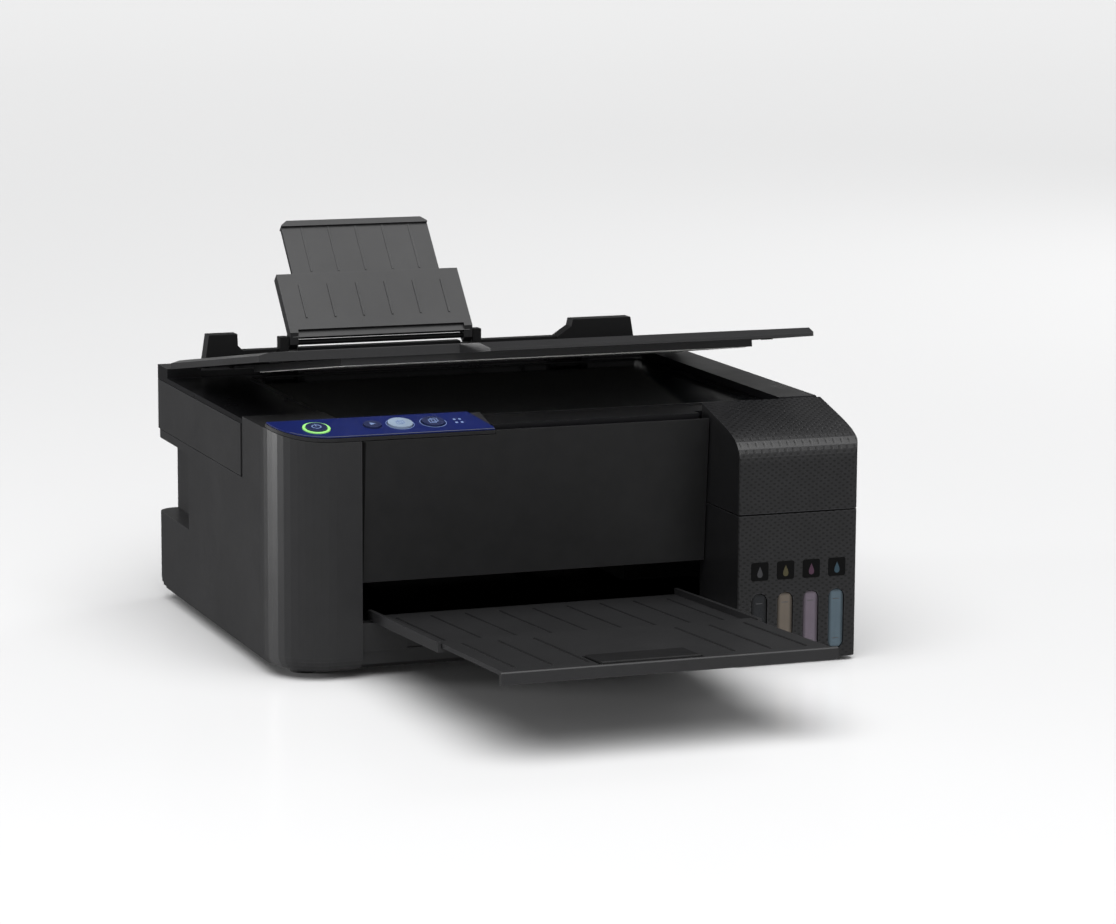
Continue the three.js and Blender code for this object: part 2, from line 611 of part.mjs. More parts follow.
// ---- output trays -------------------------------------------------------------------------------
function addTrays() {
  const group = turnedGroup(TRAY_ORIGIN, -TRAY_TILT);
  const [left, right] = TRAY_X;
  const y = [-128, 8];
  const base = box(TRAY_X, y, [-4, -1.7]);
  const rails = [reach(left, 2.4), reach(right, -2.4)].map((range) => box(range, y, [-4, 2.4]));
  const ribs = [-90, -60, -29, 2, 32, 62].map((at) => box([at - 1, at + 1], [-120, 0], [-5.5, -3.9]));
  addPart('output_tray', join(base, ...rails, ...ribs), MATERIALS.dark, group);

  const plate = box(inside(TRAY_X, 2.8), [-240, -118], [-1.3, 1.3]);
  const lip = prism('x', [[-241, -5.6], [-238, -5.6], [-238, 1.9], [-240.4, 1.9], [-241, 1.2]], TRAY_X);
  const well = box([-62, 4], [-236.4, -204], [0, 2]);
  addPart('tray_extension', cut(join(plate, lip), well), MATERIALS.dark, group);

  const flapX = [-60, 2];
  const flap = join(box(flapX, [-232, -206], [0.35, 2.3]), rod('x', [-232.5, 1.4], 1.2, flapX, 12));
  addPart('tray_stopper', flap, MATERIALS.shell, group);
}

// ---- print mechanism ----------------------------------------------------------------------------
const RAIL = { y: -28, z: 96, radius: 4 };
const BELT = { y: [2, 8], z: 92, radius: 7, x: [-116, 156] };
const FEED_Y = 12;
const EXIT_Y = -72;
const ROLLER_Z = 56;
const ROLLER_PULLEY = 11;
const MOTOR_FRONT = 34;

function addChassis() {
  const sides = [[-129, -127], [168, 170]].map((range) => box(range, [-58, 34], [16, 112]));
  const beam = box([-127.1, 168.1], [30, 32], [60, 112]);
  const holes = [
    rod('x', [FEED_Y, ROLLER_Z], 9, [-140, 180]),
    rod('x', [EXIT_Y, ROLLER_Z], 6, [-140, 180]),
    rod('x', [RAIL.y, RAIL.z], RAIL.radius + GAP, [-140, 180], 16),
    rod('y', [BELT.x[1], BELT.z], 4.4, [20, 40], 16),
  ];
  addPart('chassis', cut(join(...sides, beam), ...holes), MATERIALS.steel);
}

function addPrintHead() {
  addPart('carriage_rail', rod('x', [RAIL.y, RAIL.z], RAIL.radius, [-132, 173], 16), MATERIALS.steel);
  const x = [104, 150];
  const head = join(box(x, [-52, -1], [66, 108]), box(x, [-40, -8], [61, 66.1]));
  const bore = rod('x', [RAIL.y, RAIL.z], RAIL.radius + GAP, [90, 160], 16);
  addPart('print_head', head.subtract(bore), MATERIALS.dark);
  const ribs = [-100, -60, -20, 20, 60].map((at) => box([at, at + 3], [-58, -4], [53.9, 56]));
  addPart('platen', join(box([-126, 166], [-62, 0], [51, 54]), ...ribs), MATERIALS.dark);
}

// Outline of a belt round two wheels of one radius, at first and last along a level line.
function beltOutline(first, last, level, radius) {
  return [...arc(first, level, radius, 90, 270, 10), ...arc(last, level, radius, -90, 90, 10)];
}

// A wheel with three round holes; the motor's wheel also has the shaft that goes back to the motor.
function addBeltWheel(name, at, shaftEnd) {
  const wheel = rod('y', [at, BELT.z], BELT.radius, BELT.y);
  const holes = [0, 1, 2].map((k) => {
    const angle = (2 * Math.PI * k) / 3;
    return rod('y', [at + 4.4 * Math.cos(angle), BELT.z + 4.4 * Math.sin(angle)], 1.1, [0, 10], 8);
  });
  const shaft = shaftEnd ? [rod('y', [at, BELT.z], 2, [BELT.y[1] - 0.1, shaftEnd], 12)] : [];
  addPart(name, join(cut(wheel, ...holes), ...shaft), MATERIALS.white);
}

function addCarriageDrive() {
  const band = (extra) => {
    const outline = beltOutline(BELT.x[0], BELT.x[1], BELT.z, BELT.radius + extra);
    return prism('y', outline, inside(BELT.y, 0.5));
  };
  addPart('timing_belt', band(1.4).subtract(band(GAP)), MATERIALS.rubber);
  addBeltWheel('idler_pulley', BELT.x[0]);
  addBeltWheel('motor_pulley', BELT.x[1], MOTOR_FRONT - 1);
  const motor = rod('y', [BELT.x[1], BELT.z], 14, [MOTOR_FRONT, 66]);
  addPart('carriage_motor', motor.subtract(rod('y', [BELT.x[1], BELT.z], 4, [30, 40], 16)), MATERIALS.steel);
}

// A shaft with evenly spaced rubber sleeves and a belt pulley at its left end.
function addRoller(name, y, radius, sleeveCount) {
  const shaft = rod('x', [y, ROLLER_Z], radius - 2.5, [-139, 172], 16);
  const sleeves = Array.from({ length: sleeveCount }, (_, i) => {
    const centre = PAPER_CENTRE + (i - (sleeveCount - 1) / 2) * 46;
    return rod('x', [y, ROLLER_Z], radius, [centre - 8, centre + 8], 16);
  });
  const pulley = rod('x', [y, ROLLER_Z], ROLLER_PULLEY, [-137, -132]);
  addPart(name, join(shaft, ...sleeves, pulley), MATERIALS.rubber);
}

function addPaperDrive() {
  addRoller('feed_roller', FEED_Y, 8, 4);
  addRoller('output_roller', EXIT_Y, 5, 5);
  const outline = (extra) => beltOutline(EXIT_Y, FEED_Y, ROLLER_Z, ROLLER_PULLEY + extra);
  const loop = (extra, range) => prism('x', outline(extra), range);
  addPart('drive_belt', loop(1.6, [-137, -132]).subtract(loop(GAP, [-138, -131])), MATERIALS.rubber);
}

function addMechanism() {
  addChassis();
  addPrintHead();
  addCarriageDrive();
  addPaperDrive();
}

function addElectronics() {
  const supply = join(box([-182, -146], [-70, 60], [16, 58]), box([-178, -150], [60, 72], [24, 44]));
  addPart('power_supply', supply, MATERIALS.dark);
  addPart('main_board', box([178, 179.6], [-84, 110], [36, 112]), MATERIALS.board);
  addPart('waste_ink_pad', box([110, 176], [40, 150], [16, 40]), MATERIALS.pad);
}

addHousing();
addBase();
addRearPanels();
addFront();
addControlPanel();
addTankUnit();
addScanner();
addLid();
addFeeder();
addTrays();
addMechanism();
addElectronics();

export default printer;
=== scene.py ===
"""Desktop inkjet printer: materials, moulded detail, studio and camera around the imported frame."""
import json
import math
import bmesh
import bpy
from mathutils import Matrix, Vector


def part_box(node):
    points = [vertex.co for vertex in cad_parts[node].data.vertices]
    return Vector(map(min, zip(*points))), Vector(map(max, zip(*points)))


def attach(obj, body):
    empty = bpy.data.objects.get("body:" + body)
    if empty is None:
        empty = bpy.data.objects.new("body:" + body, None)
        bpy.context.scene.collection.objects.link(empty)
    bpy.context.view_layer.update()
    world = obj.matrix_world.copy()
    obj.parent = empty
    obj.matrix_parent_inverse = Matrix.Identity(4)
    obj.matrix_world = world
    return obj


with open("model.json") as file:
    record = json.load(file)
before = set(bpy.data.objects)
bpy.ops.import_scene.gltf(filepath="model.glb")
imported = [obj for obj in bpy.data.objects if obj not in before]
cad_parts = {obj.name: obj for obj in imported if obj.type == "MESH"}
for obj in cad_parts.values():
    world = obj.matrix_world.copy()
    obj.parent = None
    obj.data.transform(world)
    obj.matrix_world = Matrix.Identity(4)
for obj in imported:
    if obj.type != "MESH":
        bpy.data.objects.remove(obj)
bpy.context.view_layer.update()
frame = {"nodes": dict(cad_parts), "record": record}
RECORD = frame["record"]
NODES = {name: bpy.data.objects[name] for name in frame["nodes"]}
JOINTS = {joint["name"]: joint for joint in RECORD["behaviour"]["joints"]}
BODY_OF = {node: body for body, nodes in RECORD["behaviour"]["bodies"].items() for node in nodes}
MM = 0.001
FRAME_SHIFT = 70 * MM


# ---- camera and studio ---------------------------------------------------------------------------
CAMERA_PLACE = (-0.84902, -2.36649 + FRAME_SHIFT, 0.54006)
CAMERA_ANGLES = {"yaw": 19.914, "pitch": 9.524, "roll": 0.197}
CAMERA_LENS = 122.97
CAMERA_SHIFT = (0.0469, -0.0084)


def make_camera():
    yaw, pitch, roll = (math.radians(angle) for angle in CAMERA_ANGLES.values())
    forward = Vector((math.sin(yaw) * math.cos(pitch), math.cos(yaw) * math.cos(pitch), -math.sin(pitch)))
    level = Vector((math.cos(yaw), -math.sin(yaw), 0))
    lifted = level.cross(forward)
    right = level * math.cos(roll) + lifted * math.sin(roll)
    up = lifted * math.cos(roll) - level * math.sin(roll)
    data = bpy.data.cameras.new("camera")
    data.lens = CAMERA_LENS
    data.shift_x, data.shift_y = CAMERA_SHIFT
    data.clip_end = 50
    camera = bpy.data.objects.new("camera", data)
    bpy.context.scene.collection.objects.link(camera)
    place = Matrix((right, up, -forward)).transposed().to_4x4()
    place.translation = Vector(CAMERA_PLACE)
    camera.matrix_world = place
    bpy.context.scene.camera = camera


def area_light(name, place, target, size, power):
    data = bpy.data.lights.new(name, "AREA")
    data.shape = "RECTANGLE"
    data.size, data.size_y = size
    data.energy = power
    light = bpy.data.objects.new(name, data)
    bpy.context.scene.collection.objects.link(light)
    light.location = place
    light.rotation_euler = (Vector(target) - Vector(place)).to_track_quat("-Z", "Y").to_euler()
    light.visible_camera = False


def overhead_light(energy=3.3, spread=75, direction=(0.12, 0.34, -1)):
    """A broad soft light, even over the whole floor, from above and a little in front."""
    data = bpy.data.lights.new("overhead", "SUN")
    data.energy = energy
    data.angle = math.radians(spread)
    light = bpy.data.objects.new("overhead", data)
    bpy.context.scene.collection.objects.link(light)
    light.rotation_euler = Vector(direction).to_track_quat("-Z", "Y").to_euler()


FLOOR_REACH = 9
FRONT_GLOW = 0.34
BACK_GLOW = 0.06
HORIZON_GLOW = 0.85
HORIZON_RISE = (0.07, 0.13)
HORIZON_FOOT = -0.02
# Each light's name, place, target, size and power.
AREA_LIGHTS = (
    ("strip", (-1.6, 0.6, 0.18), (-0.17, -0.04, 0.08), (0.5, 0.3), 13.5),
    ("fill", (0.9, -2.6, 1.5), (0, 0, 0.1), (1.2, 1.0), 4),
    ("back", (2.3, 1.5, 1.4), (0, 0.1, 0.1), (1.2, 1.0), 14),
)


def floor_paint():
    """Pale, slightly glossy studio floor."""
    material, tree, shader = new_material("floor_paint")
    shader.inputs["Base Color"].default_value = (0.93, 0.93, 0.935, 1)
    shader.inputs["Roughness"].default_value = 0.17
    shader.inputs["Specular IOR Level"].default_value = 0.2
    return material


def make_floor():
    bm = bmesh.new()
    bmesh.ops.create_grid(bm, x_segments=1, y_segments=1, size=FLOOR_REACH)
    mesh = bpy.data.meshes.new("floor")
    bm.to_mesh(mesh)
    floor = bpy.data.objects.new("floor", mesh)
    bpy.context.scene.collection.objects.link(floor)
    floor.data.materials.append(floor_paint())
    floor.visible_glossy = False


def world_glow(tree):
    """What surfaces see: a room darker behind than in front, with a pale band at the horizon."""
    direction = add(tree, "ShaderNodeSeparateXYZ")
    tree.links.new(add(tree, "ShaderNodeTexCoord").outputs["Generated"], direction.inputs[0])
    glow = map_range(tree, direction.outputs["Y"], (-1.0, 1.0), (FRONT_GLOW, BACK_GLOW))
    horizon = map_range(tree, direction.outputs["Z"], HORIZON_RISE, (HORIZON_GLOW, 0.0))
    above = math_node(tree, "GREATER_THAN", direction.outputs["Z"], HORIZON_FOOT)
    band = math_node(tree, "MULTIPLY", horizon, above)
    return math_node(tree, "MAXIMUM", glow, band)


def make_world():
    """A plain white backdrop for the camera, and a soft glow for everything else."""
    world = bpy.data.worlds.new("studio")
    world.use_nodes = True
    tree = world.node_tree
    background = tree.nodes["Background"]
    background.inputs["Color"].default_value = (1, 1, 1, 1)
    glow = world_glow(tree)
    seen_by_camera = add(tree, "ShaderNodeLightPath").outputs["Is Camera Ray"]
    backdrop = add(tree, "ShaderNodeMapRange")
    tree.links.new(seen_by_camera, backdrop.inputs["Value"])
    tree.links.new(glow, backdrop.inputs["To Min"])
    backdrop.inputs["To Max"].default_value = 1.0
    tree.links.new(backdrop.outputs["Result"], background.inputs["Strength"])
    bpy.context.scene.world = world
    bpy.context.scene.view_settings.view_transform = "Standard"


def make_studio():
    make_floor()
    make_world()
    for light in AREA_LIGHTS:
        area_light(*light)
    overhead_light()


# ---- materials -----------------------------------------------------------------------------------
def new_material(name):
    material = bpy.data.materials.new(name)
    material.use_nodes = True
    tree = material.node_tree
    return material, tree, tree.nodes["Principled BSDF"]


def add(tree, kind, **values):
    """A new node with its properties or its inputs set by name."""
    node = tree.nodes.new(kind)
    for key, value in values.items():
        if hasattr(node, key):
            setattr(node, key, value)
        else:
            node.inputs[key].default_value = value
    return node


def math_node(tree, operation, first, second=0.0, third=0.0):
    """A sum or other operation on numbers and sockets."""
    node = add(tree, "ShaderNodeMath", operation=operation)
    for socket, value in zip(node.inputs, (first, second, third)):
        if isinstance(value, (int, float)):
            socket.default_value = value
        else:
            tree.links.new(value, socket)
    return node.outputs[0]


def map_range(tree, value, source, target, interpolation="LINEAR"):
    node = add(tree, "ShaderNodeMapRange", interpolation_type=interpolation)
    tree.links.new(value, node.inputs["Value"])
    node.inputs["From Min"].default_value, node.inputs["From Max"].default_value = source
    node.inputs["To Min"].default_value, node.inputs["To Max"].default_value = target
    return node.outputs["Result"]


def noise_of(tree, place, scale, detail, roughness=0.5):
    noise = add(tree, "ShaderNodeTexNoise", Scale=scale, Detail=detail, Roughness=roughness)
    tree.links.new(place, noise.inputs["Vector"])
    return noise.outputs["Fac"]


def shaded(tree, amount, color, variation, low=0.0, high=1.0):
    """The colour between a darker and a lighter shade of itself."""
    ramp = add(tree, "ShaderNodeValToRGB")
    dark, light = ramp.color_ramp.elements
    dark.position, light.position = low, high
    dark.color = tint(color, 1 - variation)
    light.color = tint(color, 1 + variation)
    tree.links.new(amount, ramp.inputs["Fac"])
    return ramp.outputs["Color"]


def tint(color, factor):
    """The colour made lighter or darker, with full alpha."""
    return tuple(min(1.0, channel * factor) for channel in color) + (1,)


def mixed(tree, amount, colour, other):
    """A socket's colour shifted by an amount towards another, fixed colour."""
    mix = add(tree, "ShaderNodeMix", data_type="RGBA")
    tree.links.new(amount, mix.inputs[0])
    tree.links.new(colour, mix.inputs[6])
    mix.inputs[7].default_value = other
    return mix.outputs[2]


EDGE_GAIN = 7.0


def edge_mask(tree, radius=1.1 * MM):
    """One along the edges, nothing on flat faces: how far a rounded normal leans from the true one."""
    bevel = add(tree, "ShaderNodeBevel", Radius=radius)
    bevel.samples = 4
    lean = add(tree, "ShaderNodeVectorMath", operation="DOT_PRODUCT")
    tree.links.new(bevel.outputs["Normal"], lean.inputs[0])
    tree.links.new(add(tree, "ShaderNodeNewGeometry").outputs["Normal"], lean.inputs[1])
    leaning = math_node(tree, "SUBTRACT", 1.0, lean.outputs["Value"])
    return math_node(tree, "MINIMUM", math_node(tree, "MULTIPLY", leaning, EDGE_GAIN), 1.0)


GLOSS_SPREAD = 0.045
LEAST_ROUGHNESS = 0.02
COAT_ROUGHNESS = 0.08
GLOW_STRENGTH = 0.35
# How much lighter the edges get: partly rubbed wear, partly a painted highlight along them.
EDGE_WEAR_AND_HIGHLIGHT_TINT = 4.0
GRAIN_DEPTH = 0.12 * MM
RELIEF_DEPTH = 0.5 * MM
RELIEF_STRENGTH = 0.2


def bump(tree, height, strength, depth, below=None, invert=False):
    node = add(tree, "ShaderNodeBump", Strength=strength, Distance=depth, invert=invert)
    tree.links.new(height, node.inputs["Height"])
    if below:
        tree.links.new(below, node.inputs["Normal"])
    return node.outputs["Normal"]


def plastic(name, color, roughness, grain=0.25, variation=0.12, coat=0.0, metallic=0.0, grain_scale=2600.0,
            edge_wear_and_highlight=0.0, height=None, emission=None, sheen=0.0, specular=0.4, relief_shade=0.0):
    """Moulded plastic, metal or rubber: blotchy colour, uneven gloss, fine grain, and edges lightened as
    rubbed wear and as a painted highlight.
    """
    material, tree, shader = new_material(name)
    links = tree.links
    place = add(tree, "ShaderNodeTexCoord").outputs["Object"]
    blotch = noise_of(tree, place, 90.0, 4.0, 0.6)
    colour = shaded(tree, blotch, color, variation, 0.3, 0.72)
    # Edges lightened through the bevel mask: partly rubbed wear, partly a painted highlight.
    if edge_wear_and_highlight:
        amount = math_node(tree, "MULTIPLY", edge_mask(tree), math_node(tree, "MULTIPLY", blotch, edge_wear_and_highlight))
        colour = mixed(tree, amount, colour, tint(color, EDGE_WEAR_AND_HIGHLIGHT_TINT))
    # Painted shade: the colour is darkened in the relief's hollows by relief_shade (the ink unit's dimples).
    if height:
        relief = height(tree, place)
        colour = mixed(tree, relief, colour, tint(color, 1 - relief_shade))
    links.new(colour, shader.inputs["Base Color"])
    smudge = noise_of(tree, place, 14.0, 6.0, 0.7)
    gloss = (max(LEAST_ROUGHNESS, roughness - GLOSS_SPREAD), roughness + GLOSS_SPREAD)
    links.new(map_range(tree, smudge, (0.3, 0.7), gloss), shader.inputs["Roughness"])
    shader.inputs["Metallic"].default_value = metallic
    shader.inputs["Coat Weight"].default_value = coat
    shader.inputs["Specular IOR Level"].default_value = specular
    shader.inputs["Coat Roughness"].default_value = COAT_ROUGHNESS
    shader.inputs["Sheen Weight"].default_value = sheen
    if emission:
        shader.inputs["Emission Color"].default_value = (*emission, 1)
        shader.inputs["Emission Strength"].default_value = GLOW_STRENGTH
    surface = None
    if grain:
        fine = noise_of(tree, place, grain_scale, 2.0)
        surface = bump(tree, fine, grain, GRAIN_DEPTH)
    if height:
        surface = bump(tree, relief, RELIEF_STRENGTH, RELIEF_DEPTH, surface, invert=relief_shade > 0)
    if surface:
        links.new(surface, shader.inputs["Normal"])
    return material


# The moulded pattern on the ink unit, in staggered rows and swaying columns.
COLUMN_PITCH = 5.4 * MM
ROW_PITCH = 3.6 * MM
WAVE_LENGTH = 30 * MM
DIMPLE_SLOPE = (0.2, 0.7)
SIDEWAYS = 0.9


def wave_dimples(tree, place):
    """Short dimples in staggered rows, whose columns sway from side to side, on the faces to the front."""
    split = add(tree, "ShaderNodeSeparateXYZ")
    tree.links.new(place, split.inputs[0])
    turn = 2 * math.pi
    up = math_node(tree, "SUBTRACT", split.outputs["Z"], split.outputs["Y"])
    sway = math_node(tree, "SINE", math_node(tree, "MULTIPLY", up, turn / WAVE_LENGTH))
    across = math_node(tree, "MULTIPLY", split.outputs["X"], turn / COLUMN_PITCH)
    column = math_node(tree, "ADD", across, sway)
    row = math_node(tree, "MULTIPLY", up, turn / ROW_PITCH)
    cell = math_node(tree, "MULTIPLY", math_node(tree, "SINE", column), math_node(tree, "SINE", row))
    dimple = map_range(tree, cell, DIMPLE_SLOPE, (0.0, 1.0), "SMOOTHSTEP")
    side = add(tree, "ShaderNodeSeparateXYZ")
    tree.links.new(add(tree, "ShaderNodeNewGeometry").outputs["Normal"], side.inputs[0])
    front = math_node(tree, "LESS_THAN", math_node(tree, "ABSOLUTE", side.outputs["X"]), SIDEWAYS)
    return math_node(tree, "MULTIPLY", dimple, front)


def brushed(tree, place):
    """Fine scratches along X."""
    stretch = add(tree, "ShaderNodeMapping")
    stretch.inputs["Scale"].default_value = (40, 2400, 2400)
    tree.links.new(place, stretch.inputs["Vector"])
    scratches = noise_of(tree, stretch.outputs["Vector"], 1.0, 2.0)
    return math_node(tree, "MULTIPLY", scratches, 0.2)


def felt(tree, place):
    """Matted fibres."""
    return noise_of(tree, place, 900.0, 6.0, 0.8)


def clear_plastic(name, color, roughness=0.25, transmission=0.75, ior=1.46):
    """See-through plastic with a faint cloudiness."""
    material, tree, shader = new_material(name)
    place = add(tree, "ShaderNodeTexCoord").outputs["Object"]
    cloud = noise_of(tree, place, 60.0, 3.0)
    tree.links.new(shaded(tree, cloud, color, 0.12), shader.inputs["Base Color"])
    shader.inputs["Roughness"].default_value = roughness
    shader.inputs["IOR"].default_value = ior
    shader.inputs["Transmission Weight"].default_value = transmission
    return material


def window_plastic(name, color):
    """A tinted pane that darkens towards its rim, where the case shades the tank behind it."""
    material, tree, shader = new_material(name)
    split = add(tree, "ShaderNodeSeparateXYZ")
    tree.links.new(add(tree, "ShaderNodeTexCoord").outputs["Generated"], split.inputs[0])
    shade = 0.0
    for axis, start in (("X", 0.45), ("Z", 0.86)):
        signed = math_node(tree, "MULTIPLY_ADD", split.outputs[axis], 2.0, -1.0)
        from_middle = math_node(tree, "ABSOLUTE", signed)
        rim = map_range(tree, from_middle, (start, 1.0), (0.0, 1.0), "SMOOTHSTEP")
        shade = math_node(tree, "MAXIMUM", rim, shade)
    cloud = add(tree, "ShaderNodeTexNoise", Scale=3.0, Detail=3.0).outputs["Fac"]
    colour = mixed(tree, shade, shaded(tree, cloud, color, 0.15), tint(color, 0.3))
    tree.links.new(colour, shader.inputs["Base Color"])
    shader.inputs["Roughness"].default_value = 0.22
    shader.inputs["Specular IOR Level"].default_value = 0.35
    return material


def slot_color(slot):
    entry = next(item for item in RECORD["materials"] if item["slot"] == slot)
    return tuple(entry["base_color"][:3])


# How each slot of moulded parts is finished, over its own base colour.
FINISHES = {
    "charcoal_shell": {"roughness": 0.36, "grain": 0.3, "variation": 0.05, "edge_wear_and_highlight": 0.3, "specular": 0.4},
    "black_plastic": {"roughness": 0.45, "grain": 0.3, "edge_wear_and_highlight": 0.3, "specular": 0.2},
    "panel_plastic": {"roughness": 0.38, "grain": 0.15, "edge_wear_and_highlight": 0.25, "specular": 0.33},
    # The ink unit's strong edge lightening is mostly a painted highlight down its front edges.
    "textured_shell": {"roughness": 0.33, "grain": 0.1, "height": wave_dimples, "edge_wear_and_highlight": 0.9, "specular": 0.5,
                       # relief_shade: how dark the painted shade in the dimples is.
                       "relief_shade": 0.78},
    "gloss_black": {"roughness": 0.3, "grain": 0.12, "edge_wear_and_highlight": 0.3, "specular": 0.3},
    "blue_overlay": {"roughness": 0.36, "grain": 0.1, "variation": 0.1, "specular": 0.22},
    "button_plastic": {"roughness": 0.3, "grain": 0.1, "edge_wear_and_highlight": 0.3},
    "silver_button": {"roughness": 0.3, "grain": 0.08, "metallic": 0.25, "edge_wear_and_highlight": 0.1},
    "scanner_glass": {"roughness": 0.1, "grain": 0, "variation": 0.2, "specular": 0.12},
    "white_pad": {"roughness": 0.7, "grain": 0.3, "grain_scale": 1400.0, "variation": 0.015},
    "foot_rubber": {"roughness": 0.8, "grain": 0.6, "grain_scale": 1500.0},
    "belt_rubber": {"roughness": 0.75, "grain": 0.6, "grain_scale": 1800.0},
    "steel": {"roughness": 0.33, "grain": 0, "metallic": 1.0, "height": brushed},
    "white_plastic": {"roughness": 0.5, "grain": 0.2, "variation": 0.05},
    "circuit_board": {"roughness": 0.4, "grain": 0.3, "grain_scale": 700.0},
    "felt_pad": {"roughness": 0.95, "grain": 0, "height": felt, "sheen": 0.3},
}
INK_FINISH = {"roughness": 0.12, "grain": 0, "variation": 0.08, "coat": 0.4}
# How bright each ink looks through its window, and the muted colour of its printed drop.
INK_LOOKS = {
    "black": (0.5, (0.04, 0.04, 0.044)),
    "yellow": (0.6, (0.06, 0.052, 0.022)),
    "magenta": (0.52, (0.06, 0.025, 0.048)),
    "cyan": (0.5, (0.022, 0.05, 0.07)),
}
MUTED = 0.2
# Small printed and fitted details, each with a colour and a finish of its own.
DETAIL_FINISHES = {
    "screw_steel": ((0.12, 0.12, 0.125), {"roughness": 0.35, "grain": 0.1, "metallic": 0.9}),
    # Black for printed marks, also used as painted shade in the front panel's seam.
    "mark_black": ((0.003, 0.003, 0.0032), {"roughness": 0.45, "grain": 0.1, "specular": 0.12}),
    "icon_print": ((0.2, 0.28, 0.5), {"roughness": 0.45, "grain": 0.05}),
    # A pale line on the film's front edge, partly a painted highlight.
    "film_edge_highlight": ((0.13, 0.14, 0.16), {"roughness": 0.35, "grain": 0.05}),
    "pale_print": ((0.07, 0.07, 0.075), {"roughness": 0.5, "grain": 0.05}),
}


def ink_materials():
    """The ink itself, its tinted window and its printed drop."""
    made = {}
    for ink, (glow, drop) in INK_LOOKS.items():
        slot = f"ink_{ink}"
        color = slot_color(slot)
        grey = sum(color) / 3
        muted = tuple(((1 - MUTED) * channel + MUTED * grey) * glow for channel in color)
        made[slot] = plastic(slot, color, **INK_FINISH)
        made[f"window_{ink}"] = window_plastic(f"window_{ink}", muted)
        made[f"drop_{ink}"] = plastic(f"drop_{ink}", drop, 0.4, grain=0.05)
    return made


def make_materials():
    made = {slot: plastic(slot, slot_color(slot), **finish) for slot, finish in FINISHES.items()}
    ring = slot_color("light_ring")
    made["light_ring"] = plastic("light_ring", ring, 0.3, grain=0, emission=ring)
    made["clear_tank"] = clear_plastic("clear_tank", slot_color("clear_tank"))
    made.update(ink_materials())
    for name, (color, finish) in DETAIL_FINISHES.items():
        made[name] = plastic(name, color, **finish)
    return made


make_camera()
MATERIALS = make_materials()
make_studio()


# ---- helpers for pieces --------------------------------------------------------------------------
FRONTWARD = (0, -1, 0)
BACKWARD = (0, 1, 0)
UPWARD = (0, 0, 1)
DOWNWARD = (0, 0, -1)
# How far a piece laid on a face starts inside it.
SINK = 0.05 * MM


def place_piece(name, bm, node_or_body, slot, material=None, bevel=0.0):
    """Turns a bmesh into a piece that rides on a body, or on the body of a node."""
    bmesh.ops.recalc_face_normals(bm, faces=bm.faces)
    mesh = bpy.data.meshes.new(name)
    bm.to_mesh(mesh)
    bm.free()
    piece = bpy.data.objects.new(name, mesh)
    bpy.context.scene.collection.objects.link(piece)
    mesh.materials.append(MATERIALS[material or slot])
    smooth_by_angle(mesh)
    if bevel:
        add_bevel(piece, bevel)
    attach(piece, BODY_OF.get(node_or_body, node_or_body))


SMOOTH_ANGLE = math.radians(32)
BEVEL_ANGLE = math.radians(34)


def smooth_by_angle(mesh):
    mesh.shade_smooth()
    mesh.set_sharp_from_angle(angle=SMOOTH_ANGLE)


def add_bevel(piece, width):
    bevel = piece.modifiers.new("soft_edges", "BEVEL")
    bevel.width = width
    bevel.segments = 2
    bevel.limit_method = "ANGLE"
    bevel.angle_limit = BEVEL_ANGLE
    bevel.use_clamp_overlap = True
    normals = piece.modifiers.new("face_normals", "WEIGHTED_NORMAL")
    normals.keep_sharp = True
    normals.mode = "FACE_AREA_WITH_ANGLE"


def extruded(bm, outline, depth, place):
    """Adds a prism: outline is (u, v) points in the place's XY plane, raised by depth along its Z."""
    low = [bm.verts.new(place @ Vector((u, v, 0))) for u, v in outline]
    high = [bm.verts.new(place @ Vector((u, v, depth))) for u, v in outline]
    bm.faces.new(list(reversed(low)))
    bm.faces.new(high)
    for i in range(len(low)):
        j = (i + 1) % len(low)
        bm.faces.new((low[i], low[j], high[j], high[i]))


def rounded(width, height, radius, steps=6):
    """A rounded rectangle about the origin."""
    radius = min(radius, width / 2, height / 2)
    points = []
    for turn, (sx, sy) in enumerate(((1, 1), (-1, 1), (-1, -1), (1, -1))):
        for i in range(steps + 1):
            angle = math.pi / 2 * (turn + i / steps)
            points.append((sx * (width / 2 - radius) + radius * math.cos(angle),
                           sy * (height / 2 - radius) + radius * math.sin(angle)))
    return points


def circle(radius, steps=32):
    return [(radius * math.cos(2 * math.pi * i / steps), radius * math.sin(2 * math.pi * i / steps))
            for i in range(steps)]


def facing(origin, normal, up):
    """A place whose Z is the outward normal and whose Y is up."""
    z = Vector(normal).normalized()
    x = Vector(up).cross(z).normalized()
    y = z.cross(x)
    place = Matrix((x, y, z)).transposed().to_4x4()
    place.translation = Vector(origin)
    return place


def centre(node):
    low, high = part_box(node)
    return (Vector(low) + Vector(high)) / 2


# ---- CAD nodes: materials and softened edges -----------------------------------------------------
# Width of the rounding on each node's edges, in millimetres.
EDGE_WIDTH = {
    "main_housing": 0.8, "tank_cover": 1.3, "tank_case": 1.3, "front_sill": 0.9, "document_lid": 0.9,
    "scanner_top": 0.8, "front_panel": 0.5, "control_deck": 0.5, "panel_overlay": 0.25, "feeder_housing": 0.8,
    "lid_pad": 1.2, "paper_support": 0.8, "support_extension": 0.7, "output_tray": 0.5, "tray_extension": 0.6,
    "power_supply": 1.0, "print_head": 1.0, "waste_ink_pad": 1.5,
}
DEFAULT_EDGE = 0.35


def dress_nodes():
    slots = {item["node"]: item["material_slot"] for item in RECORD["subparts"]}
    for name, piece in NODES.items():
        piece.data.materials.clear()
        piece.data.materials.append(MATERIALS[slots[name]])
        smooth_by_angle(piece.data)
        add_bevel(piece, EDGE_WIDTH.get(name, DEFAULT_EDGE) * MM)


dress_nodes()


